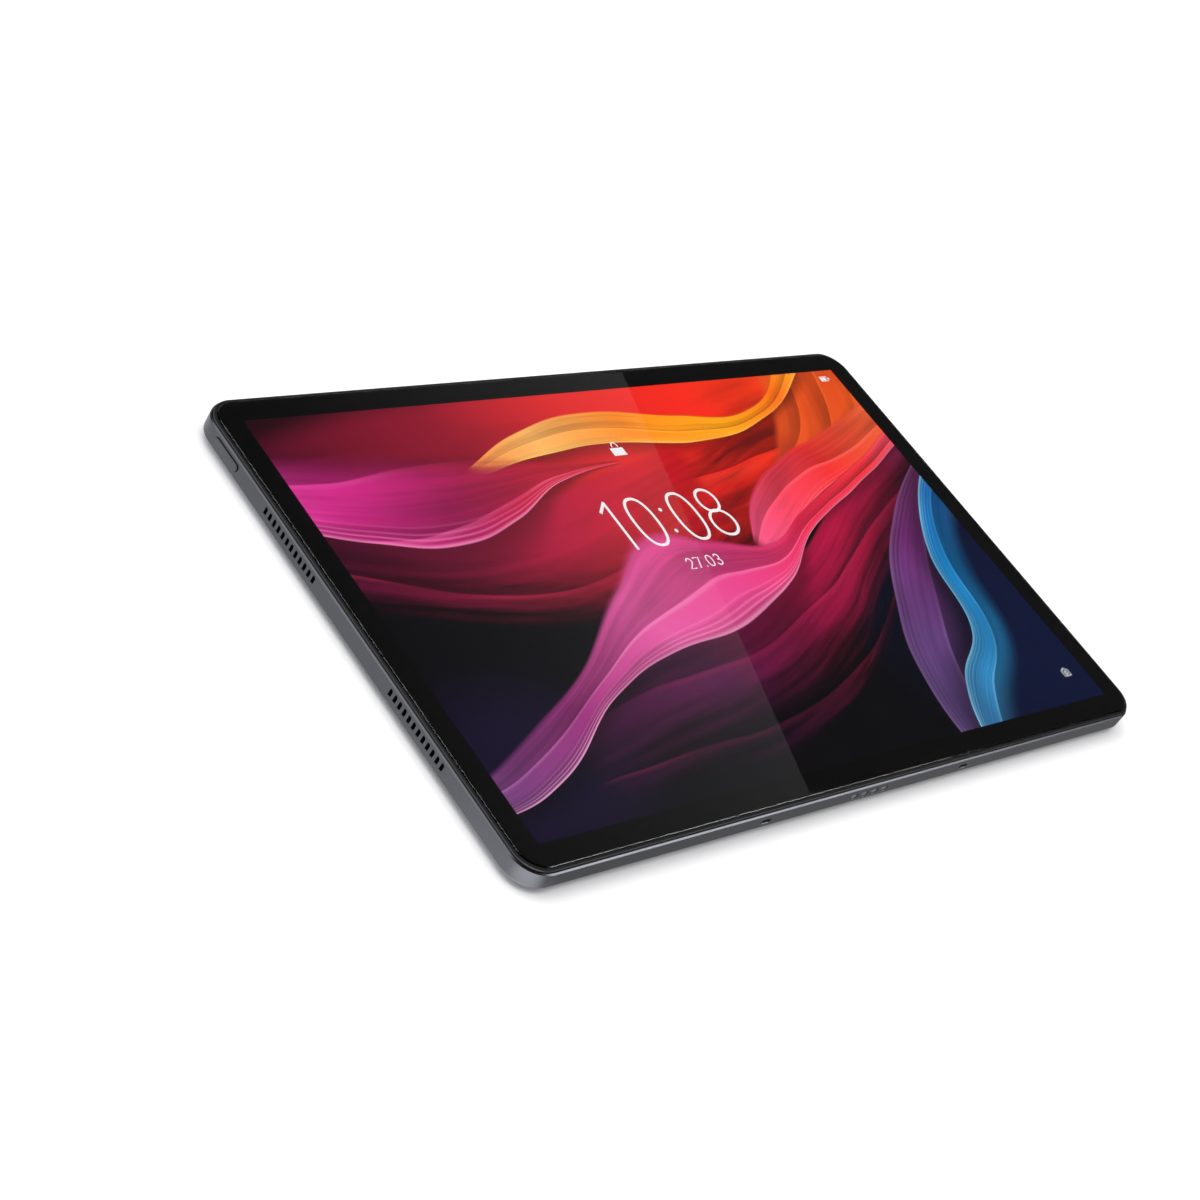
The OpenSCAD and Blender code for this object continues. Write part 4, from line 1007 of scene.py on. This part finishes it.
# Camera sign
camX, camY = 111.0, -60.6
strokeBand(bm, [(camX - 1.6, camY - 1.3), (camX + 1.6, camY - 1.3), (camX + 1.6, camY + 1.0), (camX + 0.7, camY + 1.0),
                (camX + 0.4, camY + 1.5), (camX - 0.4, camY + 1.5), (camX - 0.7, camY + 1.0), (camX - 1.6, camY + 1.0)], 0.32, True)
strokeBand(bm, oval(camX, camY - 0.15, 0.6, 0.6, 0, 360, 18, 2), 0.32, True)
litSigns = finishPiece(meshOf(bm, "litSigns", 0.00001), "litSigns", ["lit_sign"], "body", (), 30)
print("display: done")


# ---- keys, tray and ports

refined(["power_button"], "powerButton", ["button_metal"], 0.16, 4)
refined(["volume_rocker"], "volumeRocker", ["button_metal"], 0.16, 4)
refined(["card_tray"], "cardTray", ["button_metal"], 0.05, 3)
refined(["usb_shell"], "usbShell", ["port_steel"], 0.08, 3)
refined(["usb_tongue"], "usbTongue", ["black_plastic"], 0.08, 3)
refined(["dock_base"], "dockBase", ["black_plastic"], 0.05, 2)
refined(["dock_liners"], "dockLiners", ["black_plastic"], 0.05, 2)

# Four dock contacts with domed faces
bm = bmesh.new()
contactIn = dockHigh.y - dockLow.y
stackRings(bm, 1.2, 0.75, 0.749, [(0, -contactIn), (0, -0.22), (0.06, -0.08), (0.2, 0.0)],
           wallPlace((0, -1, 0), (0, 0, 0)), 12)
contactUnit = meshOf(bm, "dockContact")
row = rowOf(contactUnit, 4, (dockLow.x + 1.2, dockLow.y, dockZ), (dockPitch, 0, 0), finishes["port_steel"])
dockContacts = finishPiece(row, "dockContacts", ["port_steel"], "body", ["dock_contacts"])

# Two rows of contacts on the USB tongue
contactLow, contactHigh = boxMm("usb_contacts")
bm = bmesh.new()
stackRings(bm, 1.9, 0.125, 0.02, [(0, -0.03), (0, 0.01), (0.02, 0.03)], None, 2, guard=0)
padUnit = meshOf(bm, "usbPad")
bm = bmesh.new()
padPitch = (contactHigh.y - contactLow.y - 0.25) / 11
for z in (contactLow.z + 0.03, contactHigh.z - 0.03):
    addMesh(bm, rowOf(padUnit, 12, (contactLow.x + 1.9, contactLow.y + 0.125, z), (0, padPitch, 0), finishes["gold"]))
usbContacts = finishPiece(meshOf(bm, "usbContacts", 0.00001), "usbContacts", ["gold"], "body", ["usb_contacts"])
print("keys and ports: done")


# ---- back

refined(["rear_panel"], "rearPanel", ["panel_metal"], 0.05, 3)
refined(["rear_band"], "rearBand", ["band_metal"], 0.05, 3)

cameraSetup = {"islandRadius": 6.0, "bevel": 0.5, "holeRadius": 9.1, "dishRadius": 7.1, "dishDepth": 0.4, "flashHole": 2.75}
islandLow, islandHigh = boxMm("camera_island")
islandAt = (islandLow + islandHigh) / 2
ringLow, ringHigh = boxMm("lens_ring")
lensAt = (ringLow + ringHigh) / 2
flashAt = centreMm("flash_lens")
down = (0, 0, -1)
thick = islandHigh.z - islandLow.z
islandHalfW, islandHalfH = (islandHigh.x - islandLow.x) / 2, (islandHigh.y - islandLow.y) / 2
bevel = cameraSetup["bevel"]
bm = bmesh.new()
stackRings(bm, islandHalfW, islandHalfH, cameraSetup["islandRadius"],
           [(0, -thick), (0, -bevel - 0.05), (0.03, -bevel + 0.02), (bevel - 0.06, -0.03), (bevel, -0.005), (bevel + 0.08, 0)],
           wallPlace(down, (islandAt.x, islandAt.y, islandLow.z)), 18, guard=0.1)
islandMesh = meshOf(bm, "cameraIsland")
bm = bmesh.new()
hole = cameraSetup["holeRadius"]
stackRings(bm, hole, hole, hole * 0.9999, [(0, -thick - 1), (0, -0.12), (-0.16, 0.04), (-0.16, 1)],
           wallPlace(down, (lensAt.x, lensAt.y, islandLow.z)), 24, guard=0)
dish, deep, flashHole = cameraSetup["dishRadius"], cameraSetup["dishDepth"], cameraSetup["flashHole"]
dishProfile = [(dish - flashHole, -thick - 1), (dish - flashHole, -deep)]
for i in range(8):
    t = i / 7
    dishProfile.append(((1 - t) * (dish - flashHole - 0.5), -deep * (1 - t ** 1.8)))
dishProfile += [(-0.05, 0.03), (-0.05, 1)]
stackRings(bm, dish, dish, dish * 0.9999, dishProfile, wallPlace(down, (flashAt.x, flashAt.y, islandLow.z)), 24, guard=0)
islandMesh = carve(islandMesh, "cameraIsland", meshOf(bm, "islandOpenings", 0.00005))
cameraIsland = finishPiece(islandMesh, "cameraIsland", ["island_metal"], "body", ["camera_island"])


# Round pieces turned about the lens or flash axis. Points are (radius, height above the floor side).
def turnedPiece(name, at, section, slots, stands, body="body", steps=24, sharp=32):
    outer = max(p[0] for p in section)
    bm = bmesh.new()
    ring = softened([(outer - r, z, soft, 0) for r, z, soft in section], 3, 0.03)
    sweepSection(bm, pathRound(outer, outer, outer, steps), ring)
    bmesh.ops.translate(bm, vec=(at.x, at.y, 0), verts=bm.verts)
    return finishPiece(meshOf(bm, name), name, slots, body, stands, sharp)


glassRadius = (boxMm("lens_glass")[1].x - boxMm("lens_glass")[0].x) / 2
ringRadius = (ringHigh.x - ringLow.x) / 2
turnedPiece("lensRing", lensAt, [
    (glassRadius + 0.05, ringHigh.z, 0), (ringRadius, ringHigh.z, 0), (ringRadius, 0.5, 0.1),
    (ringRadius - 0.5, 0.2, 0.2), (ringRadius - 1.3, 0.0, 0.12), (glassRadius + 0.5, 0.0, 0.08),
    (glassRadius + 0.05, 0.35, 0.1)], ["ring_metal"], ["lens_ring"])
turnedPiece("lensHood", lensAt, [
    (glassRadius - 0.6, 0.8, 0.03), (glassRadius, 0.8, 0), (glassRadius, ringHigh.z, 0), (3.6, ringHigh.z, 0),
    (3.6, 1.5, 0.04), (4.3, 1.3, 0.03), (4.3, 1.22, 0.03), (5.0, 1.1, 0.03), (5.0, 1.02, 0.03), (5.3, 0.9, 0.03)],
    ["black_plastic"], ["lens_hood"])
hoodLow, hoodHigh = boxMm("lens_glass")
bm = bmesh.new()
stackRings(bm, glassRadius, glassRadius, glassRadius * 0.9999,
           [(0.08, -0.5), (0, -0.42), (0, -0.08), (0.08, -0.0)], wallPlace(down, (lensAt.x, lensAt.y, hoodLow.z)), 20)
finishPiece(meshOf(bm, "lensGlass"), "lensGlass", ["lens_cover"], "body", ["lens_glass"])
barrelLow, barrelHigh = boxMm("focus_barrel")
turnedPiece("focusBarrel", lensAt, [
    (0.0005, barrelHigh.z, 0), (3.3, barrelHigh.z, 0), (3.3, 1.3, 0.06), (2.6, 1.3, 0.05), (2.3, 1.42, 0.02), (2.3, 1.46, 0.02),
    (1.9, 1.55, 0.05), (1.6, 1.55, 0.05), (1.45, 1.6, 0.02), (1.0, 1.52, 0.3), (0.5, 1.46, 0.3), (0.0005, 1.44, 0)],
    ["lens_black"], ["focus_barrel"], "focus_barrel")
flashLow, flashHigh = boxMm("flash_lens")
rings = [(0.0005, flashHigh.z, 0), (2.7, flashHigh.z, 0), (2.7, flashLow.z + 0.36, 0.05)]
for i in range(6):
    r = 2.5 - i * 0.42
    rings += [(r, flashLow.z + 0.22 - i * 0.03, 0.015), (r - 0.3, flashLow.z + 0.12 - i * 0.02, 0.015)]
rings += [(0.0005, flashLow.z, 0)]
turnedPiece("flashLens", flashAt, rings, ["flash_plastic"], ["flash_lens"], "body", 16, 20)
print("camera: done")


# ---- floor, light and camera

stageSetup = {"floorSize": 5.0, "floorTone": tone(240, 240, 241), "overhead": 27.0, "key": 8.0, "edge": 3.0, "sky": 0.5,
              "glossSky": 0.03, "cardGlow": 0.3, "backWhite": 1.0}
bm = bmesh.new()
bmesh.ops.create_grid(bm, x_segments=1, y_segments=1, size=stageSetup["floorSize"])
bmesh.ops.translate(bm, vec=(0, 0, -0.0001), verts=bm.verts)
floorMesh = bpy.data.meshes.new("floor")
bm.to_mesh(floorMesh)
bm.free()
floor = objectOf(floorMesh, "floor")
material, graph, place = newFinish("paleFloor")
cloud = graph.noise(place, 1.4, 2)
graph.end(graph.surface(Base_Color=graph.blend(tone(238, 238, 239), stageSetup["floorTone"], cloud),
                        Roughness=0.9 + (cloud - 0.5) * 0.05, Specular_IOR_Level=0.1))
floor.data.materials.append(material)


def softBox(name, at, aim, width, depth, watts, glossy=True):
    light = bpy.data.lights.new(name, "AREA")
    light.shape, light.size, light.size_y, light.energy = "RECTANGLE", width, depth, watts
    lamp = bpy.data.objects.new(name, light)
    lamp.location = at
    lamp.rotation_euler = (Vector(aim) - Vector(at)).to_track_quat("-Z", "Y").to_euler()
    lamp.visible_glossy = glossy
    lamp.visible_transmission = False
    scene.collection.objects.link(lamp)
    return lamp


softBox("overheadBox", (-0.1, 0.1, 1.5), (0, 0, 0), 2.0, 2.0, stageSetup["overhead"], False)
softBox("keyBox", (-0.9, 0.7, 1.15), (0, 0, 0), 1.3, 1.0, stageSetup["key"])
edgeBox = softBox("edgeBox", (0.45, -0.62, 0.36), (-0.05, -0.08, 0), 0.5, 0.34, stageSetup["edge"])
edgeBox.visible_diffuse = False

world = bpy.data.worlds.new("studio")
world.use_nodes = True
scene.world = world
graph = Graph(world.node_tree)
ray = graph.node("ShaderNodeLightPath")
glossy = ray.output("Is Glossy Ray").largest(ray.output("Is Transmission Ray"))
seen = ray.output("Is Camera Ray")
power = stageSetup["sky"] * (1 - glossy) + glossy * stageSetup["glossSky"]
power = power * (1 - seen) + seen * stageSetup["backWhite"]
graph.end(graph.node("ShaderNodeBackground", None, {"Color": (1, 1, 1.0, 1), "Strength": power}), "ShaderNodeOutputWorld")

viewSetup = {"place": (-516.02, -279.70, 388.34), "aim": (-47.61, -4.72, 8.47), "roll": -34.55, "lens": 74.55}
place, aim = Vector(viewSetup["place"]) * toMetres, Vector(viewSetup["aim"]) * toMetres
forward = (aim - place).normalized()
level = forward.cross(Vector((0, 0, 1))).normalized()
upright = level.cross(forward)
roll = math.radians(viewSetup["roll"])
up = upright * math.cos(roll) + level * math.sin(roll)
right = forward.cross(up)
turn = Matrix((right, up, -forward)).transposed().to_4x4()
turn.translation = place
lens = bpy.data.cameras.new("camera")
lens.lens, lens.sensor_width, lens.sensor_fit = viewSetup["lens"], 36, "HORIZONTAL"
lens.clip_start, lens.clip_end = 0.01, 50
camera = bpy.data.objects.new("camera", lens)
camera.matrix_world = turn
scene.collection.objects.link(camera)
scene.camera = camera

# A grey sheet on the floor, seen only in gloss, darkens the near side of the metal and lights its corner
bm = bmesh.new()
bmesh.ops.create_grid(bm, x_segments=1, y_segments=1, size=0.5)
bmesh.ops.translate(bm, vec=(0, 0, 0.0002), verts=bm.verts)
sheetMesh = bpy.data.meshes.new("glossSheet")
bm.to_mesh(sheetMesh)
bm.free()
sheet = objectOf(sheetMesh, "glossSheet")
material, graph, spot = newFinish("glossSheet")
split = graph.node("ShaderNodeSeparateXYZ", None, [spot])
x, y = split.output("X"), split.output("Y")
nearSide = (-halfH * toMetres - y).ease(-0.002, 0.001) * x.ease(-0.127, -0.112)
cornerGlow = 1 - ((x + 0.133) ** 2 + (y + 0.087) ** 2).ease(0.0, 0.00022)
lowerLeft = (1 - y.ease(-0.09, -0.02)) * (1 - x.ease(-0.127, -0.118))
sheetGlow = (0.9 - nearSide * 0.55 + lowerLeft * 0.5 + cornerGlow * 1.3) / 3
graph.end(graph.node("ShaderNodeEmission", None,
                     {"Color": graph.blend((0, 0, 0, 1), (1, 1, 1, 1), sheetGlow), "Strength": 3.0}))
sheet.data.materials.append(material)
sheet.visible_camera = sheet.visible_diffuse = sheet.visible_shadow = sheet.visible_transmission = False

# A card above gives the glass a lighter side with one sharp edge
mirrored = Vector((place.x, place.y, 2 * topZ * toMetres - place.z))
edgeTop = Vector((0.2 * 0.1203, 0.0713, topZ * toMetres))
edgeLow = Vector((-0.2 * 0.1203, -0.0713, topZ * toMetres))
reach = 2.6
one, two = mirrored + (edgeTop - mirrored) * reach, mirrored + (edgeLow - mirrored) * reach
alongEdge = (one - two).normalized()
outwards = Vector((-alongEdge.y, alongEdge.x, 0))
corners = [two - alongEdge * 0.5, one + alongEdge * 0.5]
corners += [corners[1] + outwards * 0.8, corners[0] + outwards * 0.8]
bm = bmesh.new()
bm.faces.new([bm.verts.new(c) for c in corners])
cardMesh = bpy.data.meshes.new("glowCard")
bm.to_mesh(cardMesh)
bm.free()
card = objectOf(cardMesh, "glowCard")
material, graph, spot = newFinish("glowCard")
split = graph.node("ShaderNodeSeparateXYZ", None, [spot])
away = (split.output("X") - two.x) * outwards.x + (split.output("Y") - two.y) * outwards.y
level = (1 - away.ease(-0.25, 0.42)) * 1.12 + 0.06
glowing = graph.node("ShaderNodeEmission", None,
                     {"Color": graph.blend((0, 0, 0, 1), (1, 1, 1, 1), level), "Strength": stageSetup["cardGlow"]})
graph.end(glowing)
card.data.materials.append(material)
card.visible_camera = card.visible_diffuse = card.visible_shadow = card.visible_transmission = False
print("stage: done")
